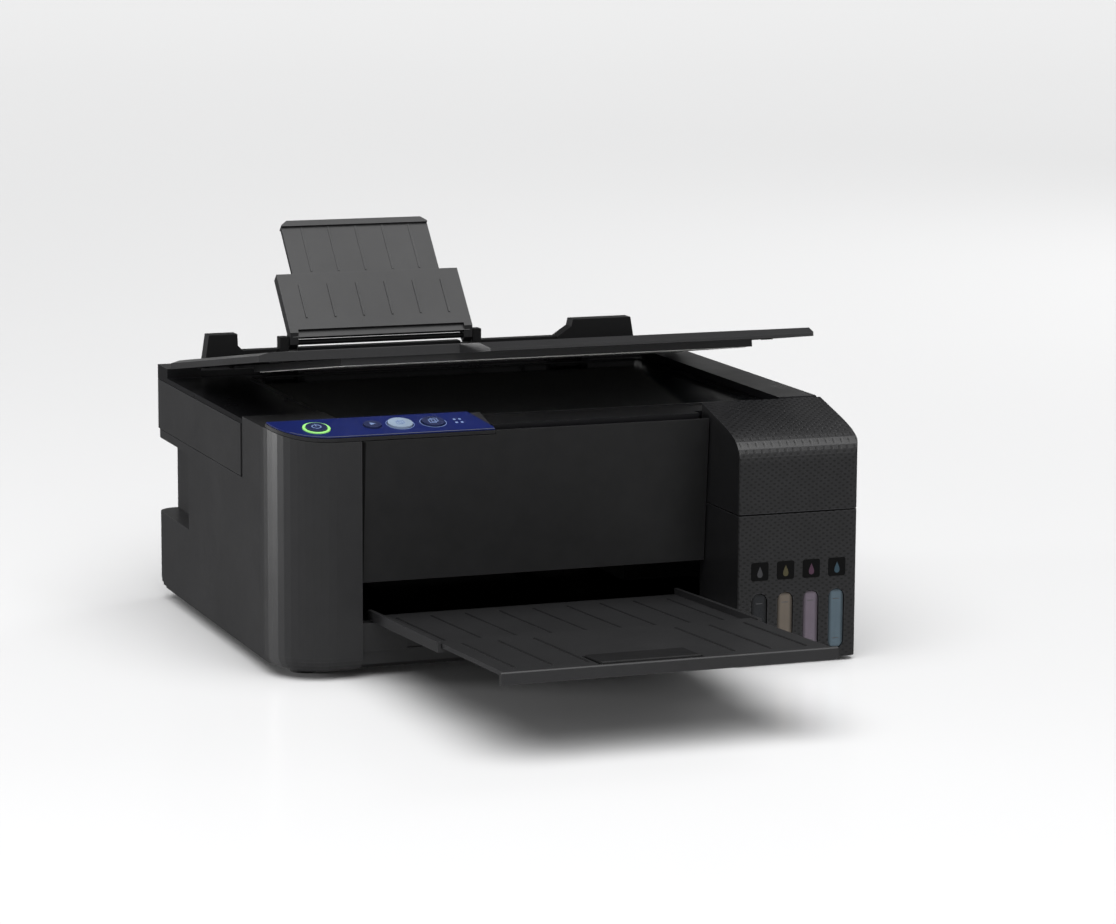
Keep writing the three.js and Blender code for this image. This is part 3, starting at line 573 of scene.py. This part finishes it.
# ---- ink unit: windows and colour marks ----------------------------------------------------------
TANKS = ("black", "yellow", "magenta", "cyan")
UNIT_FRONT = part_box("tank_case")[0][1]
WINDOW = {"width": 10.6 * MM, "height": 39.2 * MM, "middle": 28.15 * MM, "thickness": 1.4 * MM,
          "set_back": 1.9 * MM, "rounding": 0.5 * MM}
MARK = {"size": 12 * MM, "corner": 1.4 * MM, "middle": 62.2 * MM, "proud": 0.35 * MM, "rounding": 0.12 * MM}
MARK_DROP = {"size": 7.4 * MM, "proud": 0.15 * MM}
LEVEL_LINE = {"width": 4.6 * MM, "height": 0.45 * MM, "corner": 0.2 * MM, "from_middle": 13 * MM,
              "proud": 0.1 * MM}


def drop_outline(size, steps=22):
    """An ink drop: a round belly drawn up to a point."""
    points = []
    for i in range(steps):
        angle = 2 * math.pi * i / steps
        narrow = math.sin(angle / 2) ** 1.6
        points.append((size * 0.36 * math.sin(angle) * narrow, size * (0.5 * math.cos(angle) - 0.04)))
    return list(reversed(points))


def single_plate(name, outline, depth, place, body, slot, material=None, bevel=0.0):
    bm = bmesh.new()
    extruded(bm, outline, depth, place)
    place_piece(name, bm, body, slot, material, bevel)


def closed_band(bm, profile, place):
    """Joins outlines, each at its height, one to the next and the last to the first."""
    rows = [[bm.verts.new(place @ Vector((u, v, height))) for u, v in outline] for outline, height in profile]
    for k, row in enumerate(rows):
        following = rows[(k + 1) % len(rows)]
        for i in range(len(row)):
            j = (i + 1) % len(row)
            bm.faces.new((row[i], row[j], following[j], following[i]))


def ring_plate(bm, outer, inner, depth, place, steps=40):
    """A flat ring between two radii."""
    outside, inside = circle(outer, steps), circle(inner, steps)
    closed_band(bm, ((outside, 0), (outside, depth), (inside, depth), (inside, 0)), place)


def ink_window(ink, pane):
    """A tinted pane in its slot."""
    outline = rounded(WINDOW["width"], WINDOW["height"], WINDOW["width"] / 2, 10)
    single_plate(f"window_{ink}", outline, WINDOW["thickness"], pane, "tank_case", "clear_tank",
                 f"window_{ink}", WINDOW["rounding"])


def ink_mark(ink, across):
    """A dark square with a drop in the ink's colour."""
    place = facing((across, UNIT_FRONT + SINK, MARK["middle"]), FRONTWARD, UPWARD)
    square = rounded(MARK["size"], MARK["size"], MARK["corner"], 4)
    single_plate(f"mark_{ink}", square, MARK["proud"], place, "tank_case", "black_plastic", "mark_black",
                 MARK["rounding"])
    top = place @ Matrix.Translation((0, 0, MARK["proud"]))
    drop = drop_outline(MARK_DROP["size"])
    single_plate(f"drop_{ink}", drop, MARK_DROP["proud"], top, "tank_case", f"ink_{ink}", f"drop_{ink}")


def level_lines(ink, pane):
    """The highest and the lowest fill level, on the pane."""
    outline = rounded(LEVEL_LINE["width"], LEVEL_LINE["height"], LEVEL_LINE["corner"], 3)
    bm = bmesh.new()
    for height in (-LEVEL_LINE["from_middle"], LEVEL_LINE["from_middle"]):
        line = pane @ Matrix.Translation((0, height, WINDOW["thickness"]))
        extruded(bm, outline, LEVEL_LINE["proud"], line)
    place_piece(f"level_{ink}", bm, "tank_case", "black_plastic", "pale_print")


def ink_unit():
    for ink in TANKS:
        across = centre(f"tank_{ink}").x
        pane = facing((across, UNIT_FRONT + WINDOW["set_back"], WINDOW["middle"]), FRONTWARD, UPWARD)
        ink_window(ink, pane)
        ink_mark(ink, across)
        level_lines(ink, pane)


# ---- control panel print -------------------------------------------------------------------------
KEY_DOWN = Vector(JOINTS["power_press"]["axis"])
KEY_UP = -KEY_DOWN
PANEL_UP = Vector((0, KEY_UP.z, -KEY_UP.y))
OVERLAY_LIFT = 0.04 * MM
PRINT_DEPTH = 0.12 * MM


def key_top(node):
    """The middle of a key's top face, standing square to the sloping panel."""
    low, high = (Vector(corner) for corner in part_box(node))
    vertices = [v.co for v in NODES[node].data.vertices]
    top = max(v.dot(KEY_UP) for v in vertices)
    middle = (low + high) / 2
    return facing(middle + KEY_UP * (top - middle.dot(KEY_UP)), KEY_UP, PANEL_UP)


def stroke(bm, place, start, end, width):
    """A straight printed line."""
    start, end = Vector(start), Vector(end)
    along = (end - start).normalized()
    across = Vector((-along.y, along.x)) * width / 2
    outline = [start - across, end - across, end + across, start + across]
    extruded(bm, [tuple(p) for p in outline], PRINT_DEPTH, place)


def sheet_icon(bm, place, size):
    """Two overlapping sheets, drawn in thin lines."""
    width, height = size * 0.55, size * 0.72
    for shift in (-size * 0.12, size * 0.12):
        corners = [(-width / 2 + shift, -height / 2 + shift), (width / 2 + shift, -height / 2 + shift),
                   (width / 2 + shift, height / 2 + shift), (-width / 2 + shift, height / 2 + shift)]
        for i in range(4):
            stroke(bm, place, corners[i], corners[(i + 1) % 4], size * 0.07)


def power_icon(bm, place):
    ring_plate(bm, 3.2 * MM, 2.5 * MM, PRINT_DEPTH, place)
    stroke(bm, place, (0, 0.6 * MM), (0, 4.0 * MM), 0.8 * MM)


def stop_icon(bm, place):
    extruded(bm, [(-1.6 * MM, -2 * MM), (2.2 * MM, 0), (-1.6 * MM, 2 * MM)], PRINT_DEPTH, place)


def copy_icon(bm, place):
    sheet_icon(bm, place, 7.4 * MM)


def colour_copy_icon(bm, place):
    sheet_icon(bm, place, 6.4 * MM)


# Each icon's name, key, slot and drawing.
KEY_ICONS = (
    ("power_icon", "power_button", "button_plastic", power_icon),
    ("stop_icon", "stop_button", "button_plastic", stop_icon),
    ("copy_icon", "black_copy_button", "button_plastic", copy_icon),
    ("colour_copy_icon", "colour_copy_button", "silver_button", colour_copy_icon),
)
FILM_FACE = max(v.co.dot(KEY_UP) for v in NODES["panel_overlay"].data.vertices)
# Outer radius of the printed ring around each copy key.
KEY_RINGS = {"black_copy_button": 8.7 * MM, "colour_copy_button": 9.2 * MM}
KEY_RING_WIDTH = 0.4 * MM
KEY_RING_DEPTH = 0.1 * MM


def on_film(point):
    """The point moved square to the film, onto its face."""
    return point + KEY_UP * (FILM_FACE + OVERLAY_LIFT - point.dot(KEY_UP))


def key_icons():
    for name, key, slot, draw in KEY_ICONS:
        bm = bmesh.new()
        draw(bm, key_top(key))
        place_piece(name, bm, key, slot, "icon_print")


INDICATOR = {"offsets": (15.0 * MM, 18.6 * MM), "from_middle": 2.6 * MM, "width": 1.7 * MM,
             "height": 2.2 * MM, "corner": 0.5 * MM, "depth": 0.2 * MM}


def indicators():
    """Two pairs of small lamps beside the last key."""
    level = key_top("power_ring").translation
    across = centre("black_copy_button").x
    lamp = rounded(INDICATOR["width"], INDICATOR["height"], INDICATOR["corner"], 4)
    for i, offset in enumerate(INDICATOR["offsets"], start=1):
        spot = facing(on_film(Vector((across + offset, level.y, level.z))), KEY_UP, PANEL_UP)
        bm = bmesh.new()
        for side in (INDICATOR["from_middle"], -INDICATOR["from_middle"]):
            extruded(bm, lamp, INDICATOR["depth"], spot @ Matrix.Translation((0, side, 0)))
        place_piece(f"indicator_{i}", bm, "body", "blue_overlay", "icon_print")


def key_outlines():
    """A thin printed ring around each copy key."""
    bm = bmesh.new()
    for key, radius in KEY_RINGS.items():
        place = key_top(key)
        place.translation = on_film(place.translation)
        ring_plate(bm, radius, radius - KEY_RING_WIDTH, KEY_RING_DEPTH, place)
    place_piece("key_outlines", bm, "body", "blue_overlay", "icon_print")


def lower_hull(points):
    """The convex chain under the points, from left to right."""
    hull = []
    for x, y in sorted(points):
        while len(hull) > 1:
            (x1, y1), (x2, y2) = hull[-2:]
            if (x2 - x1) * (y - y1) > (y2 - y1) * (x - x1):
                break
            hull.pop()
        hull.append((x, y))
    return hull


FILM_EDGE_HIGHLIGHT_WIDTH = 0.6 * MM


# Painted highlight: a pale strip laid along the film's front edge.
def film_edge_highlight():
    """The pale line along the front of the blue film: partly its cut edge, partly a painted highlight on that
    edge.
    """
    vertices = [v.co for v in NODES["panel_overlay"].data.vertices]
    top = [v for v in vertices if v.dot(KEY_UP) > FILM_FACE - SINK]
    front = lower_hull({(round(v.x, 6), round(v.dot(PANEL_UP), 6)) for v in top})
    place = facing(KEY_UP * FILM_FACE, KEY_UP, PANEL_UP)
    bm = bmesh.new()
    for (x1, y1), (x2, y2) in zip(front, front[1:]):
        if x2 - x1 > abs(y2 - y1):
            strip = [(x1, y1), (x2, y2), (x2, y2 + FILM_EDGE_HIGHLIGHT_WIDTH), (x1, y1 + FILM_EDGE_HIGHLIGHT_WIDTH)]
            extruded(bm, strip, OVERLAY_LIFT, place)
    place_piece("film_edge_highlight", bm, "panel_overlay", "blue_overlay", "film_edge_highlight")


# A thin black strip, painted shade in the gap between the front panel and the column.
SEAM_SHADE_STRIP = {"width": 1.6 * MM, "corner": 0.3 * MM, "depth": 0.1 * MM, "sink": 0.03 * MM, "short": 1 * MM}


def panel_seam_shade():
    """A dark strip down the front panel's left edge, beside the column: painted shade that widens the dark
    gap there.
    """
    vertices = [v.co for v in NODES["front_panel"].data.vertices]
    left = min(v.x for v in vertices)
    edge = [v for v in vertices if v.x < left + 0.1 * MM]
    foot = min(edge, key=lambda v: (round(v.z, 5), v.y))
    head = max(edge, key=lambda v: (round(v.z, 5), -v.y))
    along = head - foot
    front = Vector((0, -along.z, along.y)).normalized()
    middle = (foot + head) / 2 + Vector((SEAM_SHADE_STRIP["width"] / 2, 0, 0)) - front * SEAM_SHADE_STRIP["sink"]
    outline = rounded(SEAM_SHADE_STRIP["width"], along.length - SEAM_SHADE_STRIP["short"], SEAM_SHADE_STRIP["corner"], 2)
    single_plate("panel_seam_shade", outline, SEAM_SHADE_STRIP["depth"], facing(middle, front, along), "front_panel",
                 "black_plastic", "mark_black")


# ---- trays ---------------------------------------------------------------------------------------
OUT = Vector(JOINTS["tray_slide"]["axis"])
TRAY_UP = Vector((0, OUT.z, -OUT.y))
TRAY_LEVEL = Vector(JOINTS["stopper_flip"]["pos_m"]).dot(TRAY_UP) - 1.4 * MM
# Each tray's top face above the trays' own level, and how far its ribs stand up.
TRAY_TOPS = {"tray_extension": (1.3 * MM, 0.5 * MM), "output_tray": (-1.7 * MM, 0.3 * MM)}
TRAY_RIB = {"count": 9, "pitch": 23 * MM, "width": 1.6 * MM, "short": 30 * MM, "sink": 0.2 * MM}
STOPPER_MIDDLE = -29 * MM
STOPPER_ROOM = 34 * MM


def tray_middle(node):
    """A tray part's middle along and across, and its length."""
    along = sorted(v.co.dot(OUT) for v in NODES[node].data.vertices)
    middle = OUT * ((along[0] + along[-1]) / 2)
    middle.x = centre(node).x
    return middle, along[-1] - along[0]


def tray_ribs():
    for node, (top, ridge) in TRAY_TOPS.items():
        middle, length = tray_middle(node)
        place = facing(middle + TRAY_UP * (TRAY_LEVEL + top), TRAY_UP, OUT)
        outline = rounded(TRAY_RIB["width"], length - TRAY_RIB["short"], TRAY_RIB["width"] / 2, 4)
        bm = bmesh.new()
        for i in range(TRAY_RIB["count"]):
            across = (i - TRAY_RIB["count"] // 2) * TRAY_RIB["pitch"]
            if node == "tray_extension" and abs(middle.x - across - STOPPER_MIDDLE) < STOPPER_ROOM:
                continue
            spot = place @ Matrix.Translation((across, 0, -TRAY_RIB["sink"]))
            extruded(bm, outline, ridge + TRAY_RIB["sink"], spot)
        place_piece(f"{node}_ribs", bm, node, "black_plastic", bevel=0.25 * MM)


# ---- moulded detail on the back, the base, the lid, the support, the scanner and the caps --------
SCREW = {"radius": 3.1 * MM, "collar": (1.45, 1.15), "collar_height": 0.5 * MM, "head": 0.7 * MM,
         "cross_length": 1.3, "cross_width": 0.32, "cross_corner": 0.1, "cross_depth": 0.12 * MM}


def screw_head(bm, place):
    """A pan head with a raised cross mark, standing in a shallow collar."""
    radius = SCREW["radius"]
    outer, inner = (radius * factor for factor in SCREW["collar"])
    ring_plate(bm, outer, inner, SCREW["collar_height"], place, 28)
    extruded(bm, circle(radius, 28), SCREW["head"], place @ Matrix.Translation((0, 0, SINK)))
    top = place @ Matrix.Translation((0, 0, SINK + SCREW["head"]))
    arm = [radius * SCREW[key] for key in ("cross_length", "cross_width", "cross_corner")]
    for turn in (0, math.pi / 2):
        extruded(bm, rounded(*arm, 2), SCREW["cross_depth"], top @ Matrix.Rotation(turn, 4, "Z"))


HOUSING_LOW, HOUSING_HIGH = (Vector(corner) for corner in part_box("main_housing"))
REAR_FACE = HOUSING_HIGH.y - SINK
LOUVRE = {"columns": 2, "rows": 9, "from_side": 40 * MM, "column_pitch": 30 * MM, "lowest": 46 * MM,
          "row_pitch": 6.2 * MM, "width": 25 * MM, "height": 2.6 * MM, "proud": 0.9 * MM}


def vent_louvres():
    bm = bmesh.new()
    outline = rounded(LOUVRE["width"], LOUVRE["height"], LOUVRE["height"] / 2, 5)
    for column in range(LOUVRE["columns"]):
        for row in range(LOUVRE["rows"]):
            across = HOUSING_HIGH.x - LOUVRE["from_side"] - column * LOUVRE["column_pitch"]
            height = LOUVRE["lowest"] + row * LOUVRE["row_pitch"]
            extruded(bm, outline, LOUVRE["proud"], facing((across, REAR_FACE, height), BACKWARD, UPWARD))
    place_piece("vent_louvres", bm, "body", "black_plastic", bevel=0.3 * MM)


def rear_screws():
    left, right = HOUSING_LOW.x, HOUSING_HIGH.x
    bm = bmesh.new()
    for across, height in ((left + 18 * MM, 14 * MM), (right - 18 * MM, 14 * MM),
                           (left + 50 * MM, 108 * MM), (right - 18 * MM, 112 * MM)):
        screw_head(bm, facing((across, REAR_FACE, height), BACKWARD, UPWARD))
    place_piece("rear_screws", bm, "body", "steel", "screw_steel", bevel=0.12 * MM)


COVER_RIB = {"length": 168 * MM, "width": 1.8 * MM, "proud": 0.7 * MM}


def rear_cover_ribs():
    middle = centre("rear_cover")
    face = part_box("rear_cover")[1][1] - SINK
    outline = rounded(COVER_RIB["length"], COVER_RIB["width"], COVER_RIB["width"] / 2, 4)
    bm = bmesh.new()
    for step in (-14, -7, 0, 7):
        spot = facing((middle.x, face, middle.z + step * MM), BACKWARD, UPWARD)
        extruded(bm, outline, COVER_RIB["proud"], spot)
    place_piece("rear_cover_ribs", bm, "body", "charcoal_shell", bevel=0.25 * MM)


BLADE = {"from_middle": 4 * MM, "depth": 13 * MM, "rise": 14 * MM, "width": 1.2 * MM, "height": 4.5 * MM,
         "corner": 0.3 * MM, "length": 9 * MM}


def inlet_blades():
    low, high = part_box("power_inlet")
    across = centre("power_inlet").x
    outline = rounded(BLADE["width"], BLADE["height"], BLADE["corner"], 3)
    bm = bmesh.new()
    for side in (-BLADE["from_middle"], BLADE["from_middle"]):
        foot = (across + side, high[1] - BLADE["depth"], low[2] + BLADE["rise"])
        extruded(bm, outline, BLADE["length"], facing(foot, BACKWARD, UPWARD))
    place_piece("inlet_blades", bm, "body", "steel", bevel=0.2 * MM)


BASE_LOW, BASE_HIGH = (Vector(corner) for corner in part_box("base_tray"))
BASE_FACE = BASE_LOW.z + SINK
# Each rib of the base's grid: its size across and along, and how far it stands out.
BASE_RIBS = ((26 * MM, 2 * MM, 0.8 * MM), (2 * MM, 70 * MM, 0.6 * MM))
GRID_PITCH = (34 * MM, 88 * MM)
BASE_SCREWS = (-120 * MM, -40 * MM, 40 * MM, 120 * MM)
SCREW_INSET = 24 * MM
TREAD = {"radii": (7.6 * MM, 5.4 * MM, 3.2 * MM), "width": 0.9 * MM, "depth": 0.33 * MM, "level": 0.35 * MM}


def base_ribs():
    middle = (BASE_LOW.y + BASE_HIGH.y) / 2
    bm = bmesh.new()
    for column in range(-4, 5):
        for row in range(-1, 2):
            place = (column * GRID_PITCH[0], middle + row * GRID_PITCH[1], BASE_FACE)
            for width, length, proud in BASE_RIBS:
                extruded(bm, rounded(width, length, 1 * MM, 4), proud, facing(place, DOWNWARD, BACKWARD))
    place_piece("base_ribs", bm, "body", "black_plastic", bevel=0.25 * MM)


def base_screws():
    bm = bmesh.new()
    for across in BASE_SCREWS:
        for along in (BASE_LOW.y + SCREW_INSET, BASE_HIGH.y - SCREW_INSET):
            screw_head(bm, facing((across, along, BASE_FACE), DOWNWARD, BACKWARD))
    place_piece("base_screws", bm, "body", "steel", "screw_steel", bevel=0.12 * MM)


def foot_treads():
    bm = bmesh.new()
    for corner in ("front_left", "front_right", "rear_left", "rear_right"):
        foot = centre(f"foot_{corner}")
        spot = facing((foot.x, foot.y, TREAD["level"]), DOWNWARD, BACKWARD)
        for radius in TREAD["radii"]:
            ring_plate(bm, radius, radius - TREAD["width"], TREAD["depth"], spot, 32)
    place_piece("foot_treads", bm, "body", "foot_rubber")


LID_HINGE = Vector((0, *JOINTS["lid_hinge"]["pos_m"][1:]))
LID_FIELD = {"reach": 116 * MM, "width": 336 * MM, "length": 186 * MM, "corner": 12 * MM, "proud": 0.45 * MM}
LID_BUMPER = {"across": 170 * MM, "reaches": (30 * MM, 205 * MM), "rise": 1.15 * MM, "radius": 4 * MM,
              "depth": 0.7 * MM}


def lid_directions():
    """The lid's outward and forward directions, and the level of its top, from its largest face."""
    lid = NODES["document_lid"].data
    largest = max(lid.polygons, key=lambda face: face.area * (face.normal.z > 0.5))
    normal = largest.normal.copy()
    level = max(v.co.dot(normal) for v in lid.vertices)
    return normal, Vector((0, -normal.z, normal.y)), level


def lid_field():
    """The slightly raised field on the lid's top."""
    normal, forward, level = lid_directions()
    middle = LID_HINGE + forward * LID_FIELD["reach"]
    middle += normal * (level - middle.dot(normal) - SINK)
    outline = rounded(LID_FIELD["width"], LID_FIELD["length"], LID_FIELD["corner"], 10)
    bm = bmesh.new()
    extruded(bm, outline, LID_FIELD["proud"], facing(middle, normal, forward))
    place_piece("lid_field", bm, "document_lid", "charcoal_shell", bevel=0.35 * MM)


def lid_bumpers():
    """Four rubber bumpers under the lid."""
    normal, forward, _ = lid_directions()
    bm = bmesh.new()
    for side in (-LID_BUMPER["across"], LID_BUMPER["across"]):
        for reach in LID_BUMPER["reaches"]:
            under = LID_HINGE + Vector((side, 0, 0)) + forward * reach - normal * LID_BUMPER["rise"]
            spot = facing(under, -normal, forward)
            extruded(bm, circle(LID_BUMPER["radius"], 24), LID_BUMPER["depth"], spot)
    place_piece("lid_bumpers", bm, "document_lid", "foot_rubber", bevel=0.3 * MM)


# Ribs on the front of the support: count, pitch, inset from the top, inset from the foot, and depth.
SUPPORT_RIBS = {
    "paper_support": (6, 21 * MM, 9 * MM, 18 * MM, 0.55 * MM),
    "support_extension": (5, 20 * MM, 5 * MM, 5 * MM, 0.35 * MM),
}
SUPPORT_RIB_WIDTH = 1.5 * MM
SUPPORT_RIB_CORNER = 0.7 * MM


def support_ribs():
    slide = Vector(JOINTS["support_slide"]["axis"])
    normal = Vector((0, -slide.z, slide.y))
    for node, (count, pitch, top, foot, depth) in SUPPORT_RIBS.items():
        mesh = NODES[node].data
        along = [v.co.dot(slide) for v in mesh.vertices]
        faces = [face for face in mesh.polygons if face.normal.dot(normal) > 0.99]
        level = max(faces, key=lambda face: face.area).center.dot(normal)
        low, high = min(along) + foot, max(along) - top
        middle = slide * ((low + high) / 2) + normal * (level - SINK)
        middle.x = centre(node).x
        outline = rounded(SUPPORT_RIB_WIDTH, high - low, SUPPORT_RIB_CORNER, 4)
        bm = bmesh.new()
        for i in range(count):
            across = (i - (count - 1) / 2) * pitch
            extruded(bm, outline, depth, facing(middle, normal, slide) @ Matrix.Translation((across, 0, 0)))
        place_piece(f"{node}_ribs", bm, node, "charcoal_shell", bevel=0.2 * MM)


GLASS_LOW, GLASS_HIGH = (Vector(corner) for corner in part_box("scanner_glass"))
SCANNER_DECK = 157.4 * MM
# The bezel's outer and inner outlines: how much larger than the glass, and their corner radius.
BEZEL = {"outer": (9 * MM, 5 * MM), "inner": (2 * MM, 2.5 * MM), "proud": 0.5 * MM}
TICK = {"count": 8, "pitch": 21 * MM, "short": 2.5 * MM, "long": 4 * MM, "width": 0.5 * MM,
        "corner": 0.1 * MM}
MARKS_ACROSS = GLASS_HIGH.x + 8 * MM
MARKS_LEVEL = SCANNER_DECK - 0.02 * MM
MARKS_PROUD = 0.08 * MM


def glass_bezel():
    """A low frame around the glass."""
    middle = (GLASS_LOW + GLASS_HIGH) / 2
    size = GLASS_HIGH - GLASS_LOW
    outer, inner = (rounded(size.x + more, size.y + more, corner, 6)
                    for more, corner in (BEZEL["outer"], BEZEL["inner"]))
    place = facing((middle.x, middle.y, SCANNER_DECK - SINK), UPWARD, BACKWARD)
    bm = bmesh.new()
    closed_band(bm, ((outer, 0), (outer, BEZEL["proud"]), (inner, BEZEL["proud"]), (inner, 0)), place)
    place_piece("glass_bezel", bm, "scanner_top", "gloss_black", bevel=0.15 * MM)


def size_marks():
    """Tick marks beside the glass, and an arrow at its home corner."""
    bm = bmesh.new()
    for i in range(1, TICK["count"] + 1):
        length = TICK["short"] if i % 2 else TICK["long"]
        along = GLASS_HIGH.y - i * TICK["pitch"]
        tick = facing((MARKS_ACROSS, along, MARKS_LEVEL), UPWARD, BACKWARD)
        extruded(bm, rounded(length, TICK["width"], TICK["corner"], 2), MARKS_PROUD, tick)
    corner = facing((MARKS_ACROSS, GLASS_HIGH.y + 1 * MM, MARKS_LEVEL), UPWARD, BACKWARD)
    extruded(bm, [(-2.6 * MM, -3.4 * MM), (2.6 * MM, 0), (-2.6 * MM, 3.4 * MM)], MARKS_PROUD, corner)
    place_piece("size_marks", bm, "scanner_top", "gloss_black", "pale_print")


CAP = {"from_front": 7.6 * MM, "sink": 0.03 * MM, "rim": (6.9 * MM, 6.0 * MM), "rim_proud": 0.4 * MM,
       "drop": 8 * MM, "drop_proud": 0.3 * MM}


def cap_detail():
    """A raised rim and a coloured drop on each tank cap."""
    for ink in TANKS:
        low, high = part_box(f"cap_{ink}")
        across = centre(f"cap_{ink}").x
        top = facing((across, low[1] + CAP["from_front"], high[2] - CAP["sink"]), UPWARD, BACKWARD)
        bm = bmesh.new()
        ring_plate(bm, *CAP["rim"], CAP["rim_proud"], top, 36)
        place_piece(f"cap_rim_{ink}", bm, f"cap_{ink}", "black_plastic")
        single_plate(f"cap_drop_{ink}", drop_outline(CAP["drop"]), CAP["drop_proud"], top, f"cap_{ink}",
                     f"ink_{ink}", f"drop_{ink}")


ink_unit()
key_icons()
indicators()
key_outlines()
film_edge_highlight()
panel_seam_shade()
tray_ribs()
vent_louvres()
rear_screws()
rear_cover_ribs()
inlet_blades()
base_ribs()
base_screws()
foot_treads()
lid_field()
lid_bumpers()
support_ribs()
glass_bezel()
size_marks()
cap_detail()
